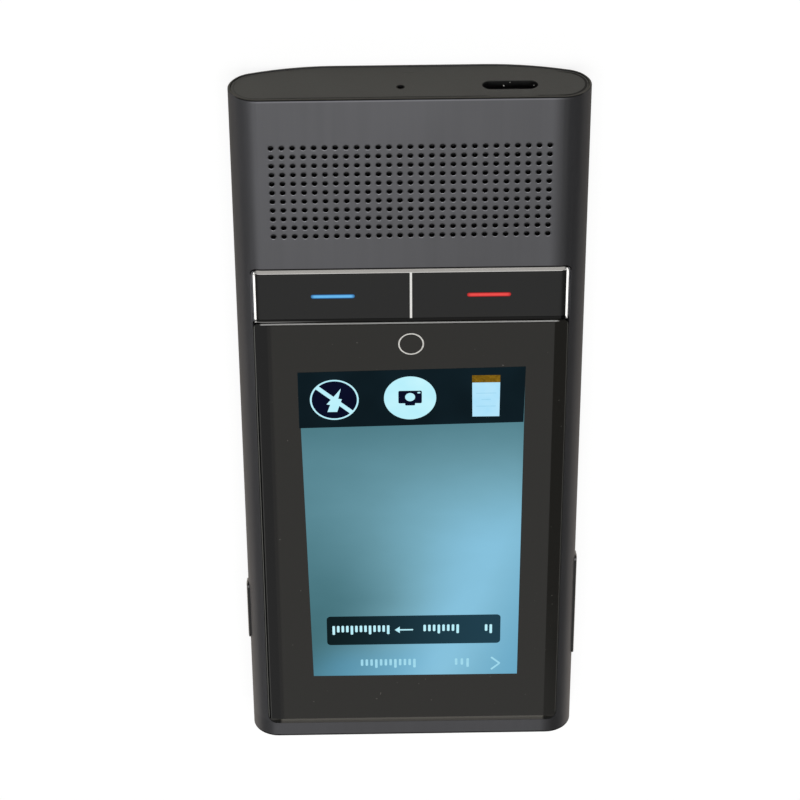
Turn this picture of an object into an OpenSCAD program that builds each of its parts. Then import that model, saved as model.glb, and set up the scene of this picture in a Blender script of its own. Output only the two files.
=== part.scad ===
// Handheld speech translator: a slim metal sleeve closed by a cap at each end, with a
// perforated speaker field, two talk keys and a touch screen on the front.
// It lies on its back. X runs across it, Y from the charging end to the head end, and Z
// up out of the screen. The origin is on the table under the middle of the back.
// All sizes are millimetres.

/* [Sleeve] */
// Width of the sleeve
body_w = 58.5; // [57.5:0.5:61]
// Length of the sleeve
body_len = 133.8; // [131:0.2:140]
// Thickness from the back to the screen
body_t = 11.4; // [11.2:0.1:13]
// Wall of the sleeve
wall = 1.0; // [0.9:0.05:1.1]
// Radius of the rounded long sides
side_r = 4.7; // [4.3:0.1:5]
// Width of the flat strip that it lies on
back_flat = 24; // [20:1:28]
// Chamfer round both ends of the sleeve
rim_chamfer = 0.2; // [0.15:0.05:0.45]

/* [End caps] */
// How far a cap sits below the rim of the sleeve
cap_recess = 0.15; // [0.05:0.05:0.3]
// Thickness of a cap
cap_t = 1.5; // [1.2:0.1:1.8]
// Gap between a cap and the sleeve
cap_gap = 0.1; // [0.05:0.05:0.15]
// Wall of the sleeve round a cap, which sits on a step inside it
rim_wall = 0.4; // [0.35:0.05:0.55]
// Diameter of each microphone hole
mic_hole_d = 1.1; // [0.8:0.1:1.4]
// Microphone hole, sideways from the middle
mic_x = 1.5; // [0:0.5:4]
// Microphone hole, down from the front
mic_drop = 4.2; // [3.9:0.1:4.5]

/* [Speaker grille] */
// Holes in a row
grille_cols = 27; // [21:2:27]
// Rows of holes
grille_rows = 11; // [7:2:11]
// Distance between holes in a row
grille_pitch_x = 1.73; // [1.5:0.01:1.75]
// Distance between rows
grille_pitch_y = 1.67; // [1.5:0.01:1.75]
// Diameter of a hole
grille_hole_d = 0.9; // [0.6:0.05:1.1]
// Middle of the grille, from the charging end
grille_from_end = 17.15; // [16.8:0.05:17.5]

/* [Talk keys] */
// Gap between the bright frame and the sleeve, at each side
key_frame_gap = 0.17; // [0.15:0.01:0.5]
// Gap between the bright frame and the sleeve, at the charging end
key_frame_gap_near = 0.28; // [0.12:0.01:0.3]
// Height of the bright frame
key_frame_h = 10.1; // [8.7:0.1:10.4]
// Near edge of the frame, from the charging end
key_from_end = 32.25; // [32:0.05:33.5]
// Width of the frame's polished chamfer and of its walls
frame_chamfer = 0.55; // [0.3:0.05:0.6]
// Width of the bar between the keys
divider_w = 0.48; // [0.4:0.02:0.7]
// Corner radius of the frame
frame_corner_r = 0.9; // [0.7:0.1:1.2]
// Thickness of a key cap
key_t = 1.8; // [1.6:0.05:1.9]
// Travel of a talk key
key_travel = 0.3; // [0.2:0.05:0.3]
// Gap round a key
key_gap = 0.06; // [0.04:0.01:0.1]
// Length of the coloured light bar in a key
light_bar_len = 7.3; // [5:0.1:10]
// Width of the light bar
light_bar_w = 0.8; // [0.6:0.1:1.2]

/* [Screen] */
// Thickness of the cover glass
glass_t = 1.0; // [0.9:0.05:1.1]
// Sleeve that shows beside the glass, on each side
glass_side = 2.9; // [2.6:0.1:3.4]
// Sleeve that shows past the glass at the head end
head_lip = 3.3; // [3:0.1:4]
// How far the glass sits below the front of the sleeve
glass_sink = 0.08; // [0.05:0.01:0.15]
// Width of the sloping strip along each side of the glass
glass_facet = 2.25; // [1.5:0.05:2.6]
// Gap round the glass
glass_gap = 0.12; // [0.08:0.01:0.2]
// Gap between the key frame and the glass
frame_to_glass = 0.4; // [0.3:0.05:0.6]
// Corner radius of the glass at the head end
glass_corner_r = 1.5; // [1:0.1:2.5]
// Width of the ground bevel at the head end of the glass
glass_bevel = 0.8; // [0.4:0.1:1]
// Width of the ground bevel beside the keys
glass_bevel_near = 0.35; // [0.2:0.05:0.5]
// Glass beside the lit picture, on each side
picture_side = 7.4; // [6.8:0.1:8.6]
// Glass past the picture at the key end
picture_near_margin = 9.8; // [9:0.2:12]
// Glass past the picture at the head end
picture_far_margin = 11; // [10:0.5:12.5]
// Thickness of the display cell
cell_t = 1.0; // [0.8:0.05:1.1]
// Thickness of the backlight behind it
backlight_t = 0.85; // [0.7:0.05:0.9]

/* [Side keys] */
// Length of the power key
power_len = 12.9; // [11:0.1:14]
// Middle of the power key, from the head end
power_from_head = 26.8; // [25.5:0.1:28]
// Length of the volume rocker
volume_len = 22.8; // [20:0.2:24]
// Middle of the volume rocker, from the head end
volume_from_head = 27; // [25:0.1:28]
// Height of a side key
side_key_h = 2.6; // [2.2:0.1:3]
// How far a side key stands out
side_key_proud = 0.35; // [0.25:0.05:0.45]
// Gap round a side key
side_key_gap = 0.12; // [0.1:0.01:0.16]

/* [Charging socket] */
// Width of the socket's opening
port_w = 9.0; // [8.8:0.05:9.4]
// Height of the socket's opening
port_h = 3.0; // [2.8:0.05:3.2]
// Middle of the socket, from the side of the sleeve
port_from_side = 13.15; // [12.4:0.05:15]
// Middle of the socket, down from the front
port_drop = 4.55; // [4.45:0.05:4.7]
// Depth of the socket
port_depth = 7.3; // [6.8:0.1:7.5]

/* [Rear camera] */
// Diameter of the camera's window
window_d = 7.4; // [6.4:0.1:8.4]
// Width of the ring round the window
ring_w = 0.9; // [0.7:0.1:1.2]
// Middle of the window, from the head end
camera_from_head = 13.5; // [12.5:0.5:14]
// Diameter of the flash lens
flash_d = 3.2; // [2.4:0.1:4]
// Flash lens, sideways from the camera
flash_x = 9.5; // [8.5:0.1:11]

/* [Inside] */
// Gap between the chassis and the sleeve
chassis_gap = 0.15; // [0.1:0.05:0.2]
// Thickness of the chassis plate under the display
plate_t = 0.7; // [0.5:0.05:0.8]
// Thickness of the circuit boards
board_t = 0.8; // [0.6:0.1:1]
// Gap between the battery and the main board
battery_gap = 7.9; // [7:0.1:14]
// Gap between the battery and the side rails of the chassis
battery_side = 3.2; // [2:0.1:6]
// Thickness of the battery
battery_t = 5.0; // [4:0.1:5.2]
// Gap between the loudspeaker and the side rails
speaker_side = 2.2; // [1.6:0.1:5]
// Length of the loudspeaker along the body
speaker_len = 21; // [16:0.5:21.5]
// Thickness of the loudspeaker
speaker_t = 4.3; // [3.5:0.1:4.5]
// Diameter of the vibration motor
motor_d = 8; // [6:0.5:8.5]

/* [Hidden] */

$fn = 96;
small = 0.01;              // lets a cutting shape pass a face
touch = 0.05;              // gap between pieces that are stacked
flex_t = 0.15;             // thickness of a flat cable
connector_h = 0.9;
connector_l = 2;

// Places along the body.
y_port = -body_len / 2;
y_head = body_len / 2;
y_cap_in = body_len / 2 - cap_recess - cap_t;      // inner face of the head cap
y_chassis = y_cap_in - touch;                      // head end of the chassis
y_grille = y_port + grille_from_end;
port_x = body_w / 2 - port_from_side;
glass_w = body_w - 2 * glass_side;
picture_w = glass_w - 2 * picture_side;
y_frame_near = y_port + key_from_end;
y_frame_far = y_frame_near + key_frame_h;
y_keys = (y_frame_near + y_frame_far) / 2;
y_glass_near = y_frame_far + frame_to_glass;
y_glass_far = y_head - head_lip;
y_picture_far = y_glass_far - picture_far_margin;
y_picture_near = y_glass_near + picture_near_margin;
y_camera = y_head - camera_from_head;
y_power = y_head - power_from_head;
y_volume = y_head - volume_from_head;

// The sleeve: each side circle meets a wide back arc, which meets the flat strip.
z_side = body_t - side_r;                          // widest level of the body
side_x = body_w / 2 - side_r;
flat_x = back_flat / 2;
back_r = (pow(side_x - flat_x, 2) + z_side * z_side - side_r * side_r)
    / (2 * (z_side - side_r));

// Window in the front of the sleeve.
window_w = glass_w + 2 * glass_gap;
key_frame_w = window_w - 2 * key_frame_gap;
y_window_near = y_frame_near - key_frame_gap_near;
y_window_far = y_glass_far + glass_gap;

// Heights of the screen. Everything inside hangs from the front.
z_glass_in = body_t - glass_t;
z_cell_top = z_glass_in - touch;
z_cell_in = z_cell_top - cell_t;
z_backlight_in = z_cell_in - backlight_t;
z_plate = z_backlight_in - 2 * touch;              // front of the chassis plate
z_plate_in = z_plate - plate_t;
tape_t = 0.15;
z_ledge = min(body_t - wall - chassis_gap, z_glass_in - tape_t);
glass_top = body_t - glass_sink;
glass_bevel_drop = 0.35;
glass_edge = 0.15;                                 // ground edge outside the sloping strip

// Display module.
display_border = 2;
display_border_near = 4.6;
module_w = picture_w + 2 * display_border;
y_module_far = y_picture_far + display_border;
y_module_near = y_picture_near - display_border_near;
pocket_gap = 0.15;
display_flex_w = 12;
y_display_slot = y_module_near - 1.1;              // where its flat cable goes down

// Talk keys: a board, domes, and hollow caps that a flange keeps under the frame.
key_in_w = (key_frame_w - divider_w) / 2 - frame_chamfer;
key_in_h = key_frame_h - 2 * frame_chamfer;
key_inner_x = divider_w / 2 + key_gap;
key_x = divider_w / 2 + key_in_w / 2;
key_corner_r = 0.4;
key_skin = 0.9;
key_flange_t = 0.35;
key_flange_w = 0.3;
key_board_t = 0.3;
dome_h = 0.3;
dome_d = 4;
dome_x = 7.5;                                      // each dome from the middle of its key
pusher_r = 0.8;
z_key_board = z_plate + key_board_t;
z_dome = z_key_board + dome_h;
z_flange_in = body_t - key_t - key_flange_t;
light_gap = 0.03;
light_foot_t = 0.4;
z_light_foot = body_t - key_skin - light_foot_t;
led_w = 1.6;
led_h = 0.5;

// Bright frame, which stands on the chassis with a foot along each long side.
z_frame_in = body_t - key_t + touch;
frame_foot = 0.55;
frame_foot_t = 0.35;
foot_inset = 2;
foot_half_w = key_frame_w / 2 - foot_inset;
y_seat_near = y_frame_near - frame_foot - pocket_gap;
y_seat_far = y_frame_far + frame_foot + pocket_gap;
y_pocket_near = y_frame_near + pocket_gap;
y_pocket_far = y_frame_far - pocket_gap;
key_pocket_x = key_frame_w / 2 - touch;
key_board_half_w = key_pocket_x - pocket_gap;
y_bay_far = y_seat_near - 1.7;                     // far end of the loudspeaker bay
key_flex_w = 6;
y_key_slot = y_pocket_near - 0.55;

// Tape under the glass.
tape_w = 1.6;
tape_x = min(glass_w / 2 - 0.5, side_x);
y_tape_near = y_seat_far + pocket_gap;
y_tape_far = y_glass_far - 0.5;

// Side keys and what is behind them.
side_flange_t = 0.5;
side_flange_w = 0.4;
side_board_t = 0.35;
side_dome_h = 0.35;
side_dome_d = 2.6;
side_chamfer = 0.35;
side_chamfer_run = 0.9;
power_flange_gap = touch;
volume_flange_gap = 0.35;                          // room for the rocker to tip
volume_press = 7;                                  // each press point from its middle
flange_reach = side_key_h / 2 + side_flange_w;
x_wall_in = side_x + sqrt(pow(side_r - wall, 2) - pow(flange_reach, 2));
side_stack = side_flange_t + 2 * touch + side_dome_h + side_board_t;
x_power_floor = x_wall_in - power_flange_gap - side_stack;
x_volume_floor = x_wall_in - volume_flange_gap - side_stack;

// Boards. They hang under the chassis on bosses, and the socket sits on the main one.
socket_w = 8.94;
socket_h = 3.2;
socket_t = 0.3;
tongue_w = 6.7;
tongue_t = 0.7;
tongue_in = 1;                                     // its tip behind the shell's mouth
z_port_axis = body_t - port_drop;
z_mic = body_t - mic_drop;
z_board = z_port_axis - socket_h / 2;              // front of both boards
z_board_in = z_board - board_t;
rail_t = 3.9;
rail_x = body_w / 2 - wall - chassis_gap - rail_t; // inner face of the side rails
board_half_w = rail_x - 0.9;
y_board_far = y_frame_far + 4.2;
y_board_near = 0.1 - y_chassis;
y_head_board_near = y_head - 22.4;
y_head_board_far = y_chassis - 0.3;
y_socket_in = port_depth - y_chassis;
y_plug = y_board_far - connector_l - 0.6;          // plugs along the main board's far edge
lead_w = 4;

// Snap arms of the caps.
arm_x = rail_x - 0.15;
arm_t = 1.2;
arm_h = 1.2;
arm_len = 3.4;
barb = 0.4;
z_arm = z_plate_in - arm_h - 0.2;

// Shield cans over each face of the main board.
can_t = 0.2;
can_h = 1.65;
can_inset = 9;                                     // board beside a can
upper_can_l = 8;
lower_can_gap = 3;                                 // from the end screws to the lower can

// Screws.
screw_r = 0.6;
screw_play = 0.03;
screw_bite = 1.8;
screw_head_r = 1.05;
screw_head_t = 0.5;
boss_r = 1.3;
screw_x = rail_x - 2.1;
screw_inset = 5;                                   // end screws, from the ends of the chassis
y_port_screw = screw_inset - y_chassis;
screw_places = [
    for (side = [-1, 1], y = [y_port_screw, y_board_far - 1.9, y_head_board_near + 2.3,
            y_chassis - screw_inset])
        [side * screw_x, y]
];

// Microphones, each in a rubber boot behind its hole.
boot_w = 1.9;
boot_l = 1.3;
boot_h = 3.2;
mic_w = 1.5;
mic_l = 1.0;
z_bridge = max(z_port_axis + socket_h / 2, z_mic + boot_h / 2) + 0.15;
y_bridge = 4 - y_chassis;

// Loudspeaker, from the board up to the grille.
mesh_t = 0.15;
gasket_w = 1.2;
speaker_w = 2 * (rail_x - speaker_side);
z_speaker = z_board + touch + speaker_t;
z_mesh_in = body_t - wall - touch - mesh_t;
z_speaker_rim = z_port_axis + socket_h / 2 + 0.15;
y_speaker_near = y_grille - speaker_len / 2;
y_speaker_far = y_grille + speaker_len / 2;
y_speaker_deep = max(y_socket_in, y_port_screw + boss_r) + 0.4;
cone_w = 32;
cone_l = 13;
cone_depth = 1.2;
cone_t = 0.6;
contact_inset = 4;
contact_w = 1.6;
contact_t = 0.45;
contact_h = 1.4;
mesh_w = min((grille_cols - 1) * grille_pitch_x + 3, 2 * side_x - 1);
mesh_l = (grille_rows - 1) * grille_pitch_y + 3;

// Battery and the cable that links the boards under it.
battery_tape_t = 0.1;
z_battery = z_plate_in - battery_tape_t;
z_battery_in = z_battery - battery_t;
battery_round = 1;
y_battery_far = y_head_board_near - 1.2;
y_battery_near = y_board_far + battery_gap;
battery_tape_w = battery_side * 2.5;
battery_w = 2 * (rail_x - battery_side);
terrace_l = 4;
terrace_drop = 1.2;
link_flex_w = 8;
link_plug_l = 2;
z_link = z_battery_in - 0.1 - flex_t;

// Head end.
motor_inset = 8.8;
antenna_inset = 3.3;
antenna_l = 16;
antenna_h = 1.5;

// Rear camera and its flash.
hole_gap = 0.1;
ring_r = window_d / 2 + ring_w;
ring_flange = 0.7;
window_t = 0.7;
z_window = 0.1;
z_ring_flange = wall + touch;
ring_flange_t = 0.4;
camera_body_w = 8.5;
camera_body_h = 4.2;
camera_barrel_r = window_d / 2 - 0.6;
z_camera = z_plate_in - touch - camera_body_h;
z_barrel = z_window + window_t + 0.2;
led_body = 2.2;
led_body_h = 1.0;

// Front of the body at a distance from the middle.
function z_at(x) = z_side + sqrt(side_r * side_r - pow(max(0, x - side_x), 2));

// ---------- Shared outlines ----------

// Half of the curved back, from the flat strip to where the side circle takes over.
module back_sweep(inset) {
    lean = [side_x - flat_x, z_side - back_r] / (back_r - side_r);
    beyond = [side_x, z_side] + lean * (side_r + 1);
    intersection() {
        translate([flat_x, back_r]) circle(r = back_r - inset, $fn = 360);
        polygon([[flat_x, z_side], [flat_x, -1], [beyond[0], -1], beyond, [side_x, z_side]]);
    }
}

// Cross-section of the sleeve in X and Z, drawn smaller by inset all round.
module body_section(inset = 0) {
    translate([-side_x, z_side]) square([2 * side_x, side_r - inset]);
    translate([-flat_x, inset]) square([2 * flat_x, z_side - inset]);
    for (side = [0, 1]) mirror([side, 0]) {
        translate([side_x, z_side]) circle(r = side_r - inset);
        back_sweep(inset);
    }
}

// The cross-section as a bar from y0 to y1.
module body_bar(y0, y1, inset = 0) {
    translate([0, y1, 0]) rotate([90, 0, 0]) linear_extrude(y1 - y0) body_section(inset);
}

// What a chamfer takes off the rim at y, whose outward direction along Y is out.
module rim_arc_cutter(x, z, r, from, to, y, out) {
    c = rim_chamfer;
    translate([x, 0, z]) rotate([90, 0, 0]) rotate([0, 0, from])
        rotate_extrude(angle = to - from, $fn = 360) polygon([
            [r - 2 * c, -y - out * c], [r + c, -y - out * c], [r + c, -y + out * 2 * c]]);
}

module rim_flat_cutter(half_w, z, up, y, out) {
    c = rim_chamfer;
    translate([-half_w, 0, 0]) rotate([90, 0, 90]) linear_extrude(2 * half_w) polygon([
        [y + out * c, z - up * 2 * c], [y + out * c, z + up * c], [y - out * 2 * c, z + up * c]]);
}

module rim_cutter(y, out) {
    lean = atan2(z_side - back_r, side_x - flat_x);
    rim_flat_cutter(side_x, body_t, 1, y, out);
    rim_flat_cutter(flat_x, 0, -1, y, out);
    for (side = [0, 1]) mirror([side, 0, 0]) {
        rim_arc_cutter(side_x, z_side, side_r, lean, 90, y, out);
        rim_arc_cutter(flat_x, back_r, back_r, -90, lean, y, out);
    }
}

// Rectangle from y0 to y1, with one corner radius at its near end and one at its far end.
module round_panel(w, y0, y1, r_near, r_far) {
    translate([-w / 2, y0 + r_near]) square([w, y1 - y0 - r_near - r_far]);
    translate([-w / 2 + r_near, y0]) square([w - 2 * r_near, r_near + small]);
    translate([-w / 2 + r_far, y1 - r_far - small]) square([w - 2 * r_far, r_far + small]);
    for (side = [-1, 1]) {
        translate([side * (w / 2 - r_near), y0 + r_near]) circle(r_near);
        translate([side * (w / 2 - r_far), y1 - r_far]) circle(r_far);
    }
}

// Slot with round ends, its length along the first axis.
module pill(len, h) {
    square([len - h, h], center = true);
    for (side = [-1, 1]) translate([side * (len - h) / 2, 0]) circle(d = h);
}

// A pill on the sleeve's widest level, its length along Y, drawn out from x0 to x1.
module side_pill(len, h, x0, x1) {
    translate([x0, 0, z_side]) rotate([90, 0, 90]) linear_extrude(x1 - x0) pill(len, h);
}

// Box from one corner to the opposite one.
module block(low, high) {
    translate(low) cube(high - low);
}

// ---------- Sleeve and caps ----------

module grille_holes() {
    for (col = [0 : grille_cols - 1], row = [0 : grille_rows - 1])
        translate([(col - (grille_cols - 1) / 2) * grille_pitch_x,
                y_grille + (row - (grille_rows - 1) / 2) * grille_pitch_y, body_t - wall - 1])
            cylinder(d = grille_hole_d, h = wall + 2, $fn = 24);
}

module housing() {
    color([0.20, 0.20, 0.21]) difference() {
        body_bar(y_port, y_head);
        body_bar(y_port - 1, y_head + 1, wall);
        body_bar(y_port - 1, -y_chassis, rim_wall);
        body_bar(y_chassis, y_head + 1, rim_wall);
        translate([0, 0, z_side]) linear_extrude(side_r + 1)
            round_panel(window_w, y_window_near, y_window_far,
                frame_corner_r + key_frame_gap, glass_corner_r + glass_gap);
        grille_holes();
        translate([0, y_power, 0])
            side_pill(power_len + 2 * side_key_gap, side_key_h + 2 * side_key_gap,
                side_x, body_w / 2 + 1);
        translate([0, y_volume, 0])
            side_pill(volume_len + 2 * side_key_gap, side_key_h + 2 * side_key_gap,
                -body_w / 2 - 1, -side_x);
        translate([0, y_camera, -1])
            cylinder(r = ring_r + hole_gap, h = wall + 2);
        translate([flash_x, y_camera, -1])
            cylinder(d = flash_d + 2 * hole_gap, h = wall + 2);
        rim_cutter(y_port, -1);
        rim_cutter(y_head, 1);
    }
}

// A cap at the head end: a plate with two arms that snap into the chassis's side rails.
module cap_body() {
    body_bar(y_cap_in, y_head - cap_recess, rim_wall + cap_gap);
    for (side = [0, 1]) mirror([side, 0, 0])
        translate([0, 0, z_arm]) linear_extrude(arm_h)
            polygon([
                [arm_x, y_cap_in + small], [arm_x - arm_t, y_cap_in + small],
                [arm_x - arm_t, y_cap_in - arm_len], [arm_x, y_cap_in - arm_len],
                [arm_x + barb, y_cap_in - arm_len + barb],
                [arm_x, y_cap_in - arm_len + 2 * barb]
            ]);
}

module mic_hole() {
    translate([mic_x, 0, z_mic]) rotate([-90, 0, 0]) cylinder(d = mic_hole_d, h = body_len);
}

module port_end_cap() {
    color([0.24, 0.24, 0.23]) difference() {
        mirror([0, 1, 0]) cap_body();
        mirror([0, 1, 0]) mic_hole();
        translate([-port_x, y_port + cap_t + 1, z_port_axis]) rotate([90, 0, 0])
            linear_extrude(cap_t + 2) pill(port_w, port_h);
    }
}

module head_end_cap() {
    color([0.24, 0.24, 0.23]) difference() {
        cap_body();
        mic_hole();
    }
}

// ---------- Screen ----------

// A strip slopes down along each side to meet the sleeve, and both ends are ground to a bevel.
module cover_glass() {
    half_w = glass_w / 2;
    z_strip = z_at(half_w - glass_edge) - glass_sink;
    color([0.08, 0.08, 0.08]) intersection() {
        translate([0, 0, z_glass_in]) linear_extrude(glass_t + 1)
            round_panel(glass_w, y_glass_near, y_glass_far, frame_corner_r, glass_corner_r);
        translate([0, y_glass_far + 1, 0]) rotate([90, 0, 0])
            linear_extrude(y_glass_far - y_glass_near + 2) polygon([
                [-half_w, z_glass_in], [-half_w, z_strip - glass_edge],
                [glass_edge - half_w, z_strip], [glass_facet - half_w, glass_top],
                [half_w - glass_facet, glass_top], [half_w - glass_edge, z_strip],
                [half_w, z_strip - glass_edge], [half_w, z_glass_in]
            ]);
        translate([body_w / 2, 0, 0]) rotate([90, 0, -90]) linear_extrude(body_w)
            polygon([
                [-y_glass_near, z_glass_in], [-y_glass_near, glass_top - glass_bevel_near],
                [-y_glass_near - glass_bevel_near, glass_top],
                [-y_glass_far + glass_bevel, glass_top],
                [-y_glass_far, glass_top - glass_bevel_drop], [-y_glass_far, z_glass_in]
            ]);
    }
}

module glass_tape() {
    color([0.05, 0.05, 0.05]) translate([0, 0, z_ledge]) linear_extrude(z_glass_in - z_ledge)
        difference() {
            translate([-tape_x, y_tape_near]) square([2 * tape_x, y_tape_far - y_tape_near]);
            translate([-tape_x + tape_w, y_tape_near + tape_w])
                square([2 * (tape_x - tape_w), y_tape_far - y_tape_near - 2 * tape_w]);
        }
}

module display_cell() {
    color([0.15, 0.25, 0.30])
        block([-module_w / 2, y_module_near, z_cell_in], [module_w / 2, y_module_far, z_cell_top]);
}

module backlight() {
    color([0.90, 0.90, 0.92]) difference() {
        block([-module_w / 2, y_module_near + 1, z_backlight_in],
            [module_w / 2, y_module_far, z_cell_in - touch]);
        block([-module_w / 2 + 0.6, y_module_near + 1.6, z_backlight_in + 0.35],
            [module_w / 2 - 0.6, y_module_far - 0.6, z_cell_in]);
    }
}

// A flat cable in three straight runs: out at one level, down or up, and in at another.
module step_flex(x, w, y_a, z_a, y_step, y_b, z_b) {
    low = min(z_a, z_b);
    high = max(z_a, z_b) + flex_t;
    block([x - w / 2, min(y_a, y_step), z_a], [x + w / 2, max(y_a, y_step + flex_t), z_a + flex_t]);
    block([x - w / 2, y_step, low], [x + w / 2, y_step + flex_t, high]);
    block([x - w / 2, min(y_b, y_step), z_b], [x + w / 2, max(y_b, y_step + flex_t), z_b + flex_t]);
}

module connector(x, w, y0, y1) {
    block([x - w / 2, y0, z_board], [x + w / 2, y1, z_board + connector_h]);
}

module display_flex() {
    color([0.75, 0.45, 0.15]) {
        step_flex(0, display_flex_w, y_module_near + 1 - touch, z_backlight_in + 0.2,
            y_display_slot, y_plug, z_board + connector_h);
        connector(0, display_flex_w, y_plug, y_plug + connector_l);
    }
}

// ---------- Chassis ----------

module side_pocket(side, y, len, x_floor) {
    block([min(side * x_floor, side * body_w / 2), y - len / 2 - side_flange_w - pocket_gap * 2,
            z_side - flange_reach - pocket_gap * 2],
        [max(side * x_floor, side * body_w / 2), y + len / 2 + side_flange_w + pocket_gap * 2,
            z_side + flange_reach + pocket_gap * 2]);
}

module chassis_body() {
    difference() {
        body_bar(-y_chassis, y_chassis, wall + chassis_gap);
        // Space for the boards and the battery, open to the back.
        block([-rail_x, -y_chassis - 1, -1], [rail_x, y_chassis + 1, z_plate_in]);
        // Loudspeaker bay, with a bridge left across the charging end.
        block([-rail_x, y_bridge, z_plate_in - 1], [rail_x, y_bay_far, body_t]);
        block([-rail_x, -y_chassis - 1, z_plate_in - 1], [rail_x, y_bridge + small, z_bridge]);
        // Key pocket, and the seat of the bright frame above it.
        block([-key_pocket_x, y_pocket_near, z_plate], [key_pocket_x, y_pocket_far, body_t]);
        block([-body_w / 2, y_seat_near, z_frame_in - touch], [body_w / 2, y_seat_far, body_t]);
        // Ledge under the glass, and the pocket of the display.
        block([-body_w / 2, y_seat_far - small, z_ledge], [body_w / 2, y_window_far, body_t]);
        block([-module_w / 2 - pocket_gap, y_module_near - pocket_gap, z_plate],
            [module_w / 2 + pocket_gap, y_module_far + pocket_gap, body_t]);
        // Room for the microphone at the head end.
        block([mic_x - boot_w, y_chassis - boot_l - mic_l - 0.3, z_plate_in - 1],
            [mic_x + boot_w, y_chassis + 1, z_bridge]);
        // Slots for the two flat cables.
        block([-display_flex_w / 2 - 0.3, y_display_slot - 0.3, z_plate_in - 1],
            [display_flex_w / 2 + 0.3, y_module_near, z_backlight_in + 0.6]);
        block([-key_flex_w / 2 - 0.3, y_key_slot - 0.2, z_plate_in - 1],
            [key_flex_w / 2 + 0.3, y_pocket_near + small, z_key_board + 0.1]);
        // Pockets behind the side keys.
        side_pocket(1, y_power, power_len, x_power_floor);
        side_pocket(-1, y_volume, volume_len, x_volume_floor);
        // Notches for the snap arms of the caps.
        for (side = [-1, 1], end = [-1, 1])
            translate([side * rail_x, end * (y_cap_in - arm_len + barb), z_arm + arm_h / 2])
                cube([2 * (barb + 0.15), 2 * barb + 0.4, arm_h + 0.3], center = true);
    }
}

module screw_bosses() {
    for (place = screw_places)
        translate([place[0], place[1], z_board]) cylinder(r = boss_r, h = z_plate_in - z_board + small);
    // At the charging end a lug carries each boss, because there is no plate above.
    for (side = [-1, 1])
        block([min(side * screw_x, side * (rail_x + small)), y_port_screw - boss_r, z_board],
            [max(side * screw_x, side * (rail_x + small)), y_port_screw + boss_r, z_plate_in]);
}

module chassis() {
    color([0.62, 0.63, 0.65]) difference() {
        union() {
            chassis_body();
            screw_bosses();
        }
        for (place = screw_places)
            translate([place[0], place[1], z_board - 1])
                cylinder(r = screw_r + screw_play, h = screw_bite + 1.2);
    }
}

// ---------- Talk keys ----------

// One of the two openings in the bright frame, or a key in it, drawn smaller by inset.
module key_outline(inset = 0) {
    translate([key_x, y_keys]) {
        w = key_in_w - 2 * inset;
        h = key_in_h - 2 * inset;
        r = key_corner_r;
        translate([-w / 2, -h / 2]) square([w - r, h]);
        translate([-w / 2, -h / 2 + r]) square([w, h - 2 * r]);
        for (end = [-1, 1]) translate([w / 2 - r, end * (h / 2 - r)]) circle(r);
    }
}

module frame_blank() {
    half_w = key_frame_w / 2;
    intersection() {
        body_bar(y_frame_near, y_frame_far);
        translate([0, 0, z_frame_in]) linear_extrude(key_t + 1)
            round_panel(key_frame_w, y_frame_near, y_frame_far, frame_corner_r, frame_corner_r);
        // Chamfer along the two long sides.
        translate([body_w / 2, 0, 0]) rotate([90, 0, -90]) linear_extrude(body_w)
            polygon([
                [-y_frame_near, 0], [-y_frame_near, body_t - frame_chamfer],
                [-y_frame_near - frame_chamfer, body_t], [-y_frame_far + frame_chamfer, body_t],
                [-y_frame_far, body_t - frame_chamfer], [-y_frame_far, 0]
            ]);
        // Chamfer at the two ends, where the body already falls away.
        translate([0, y_frame_far, 0]) rotate([90, 0, 0]) linear_extrude(key_frame_h)
            polygon([
                [-half_w, 0], [-half_w, z_at(half_w) - frame_chamfer],
                [-half_w + frame_chamfer, z_at(half_w - frame_chamfer)], [-side_x, body_t + 1],
                [side_x, body_t + 1], [half_w - frame_chamfer, z_at(half_w - frame_chamfer)],
                [half_w, z_at(half_w) - frame_chamfer], [half_w, 0]
            ]);
    }
}

module key_trim_frame() {
    color([0.80, 0.79, 0.77]) difference() {
        union() {
            frame_blank();
            block([-foot_half_w, y_frame_near - frame_foot, z_frame_in],
                [foot_half_w, y_frame_far + frame_foot, z_frame_in + frame_foot_t]);
        }
        for (side = [0, 1]) mirror([side, 0, 0])
            translate([0, 0, z_frame_in - 1]) linear_extrude(key_t + 2) key_outline();
    }
}

// A hollow cap with a flange that keeps it under the frame, and two pushers inside.
module talk_key() {
    difference() {
        union() {
            intersection() {
                body_bar(y_frame_near, y_frame_far);
                translate([0, 0, body_t - key_t - small]) linear_extrude(key_t + 1)
                    key_outline(key_gap);
            }
            translate([0, 0, z_flange_in]) linear_extrude(key_flange_t) difference() {
                key_outline(key_gap - key_flange_w);
                translate([-key_in_w, y_frame_near]) square([key_inner_x + key_in_w, key_frame_h]);
            }
        }
        translate([0, 0, z_flange_in - 1]) linear_extrude(body_t - key_skin - z_flange_in + 1)
            key_outline(key_gap + key_skin);
        translate([key_x, y_keys, z_flange_in]) linear_extrude(key_t + 2)
            pill(light_bar_len + 2 * light_gap, light_bar_w + 2 * light_gap);
    }
    for (push = [-1, 1])
        translate([key_x + push * dome_x, y_keys, z_dome + touch])
            cylinder(r = pusher_r, h = body_t - key_skin + small - z_dome - touch);
}

// A clear bar through the key, with a wider foot glued inside it.
module light_bar() {
    translate([key_x, y_keys, 0]) {
        translate([0, 0, z_light_foot + light_foot_t - small])
            linear_extrude(body_t - z_light_foot - light_foot_t + small)
                pill(light_bar_len, light_bar_w);
        translate([0, 0, z_light_foot]) linear_extrude(light_foot_t)
            pill(light_bar_len + 1.2, light_bar_w + 1.2);
    }
}

module blue_key() {
    color([0.18, 0.18, 0.18]) talk_key();
}

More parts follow.
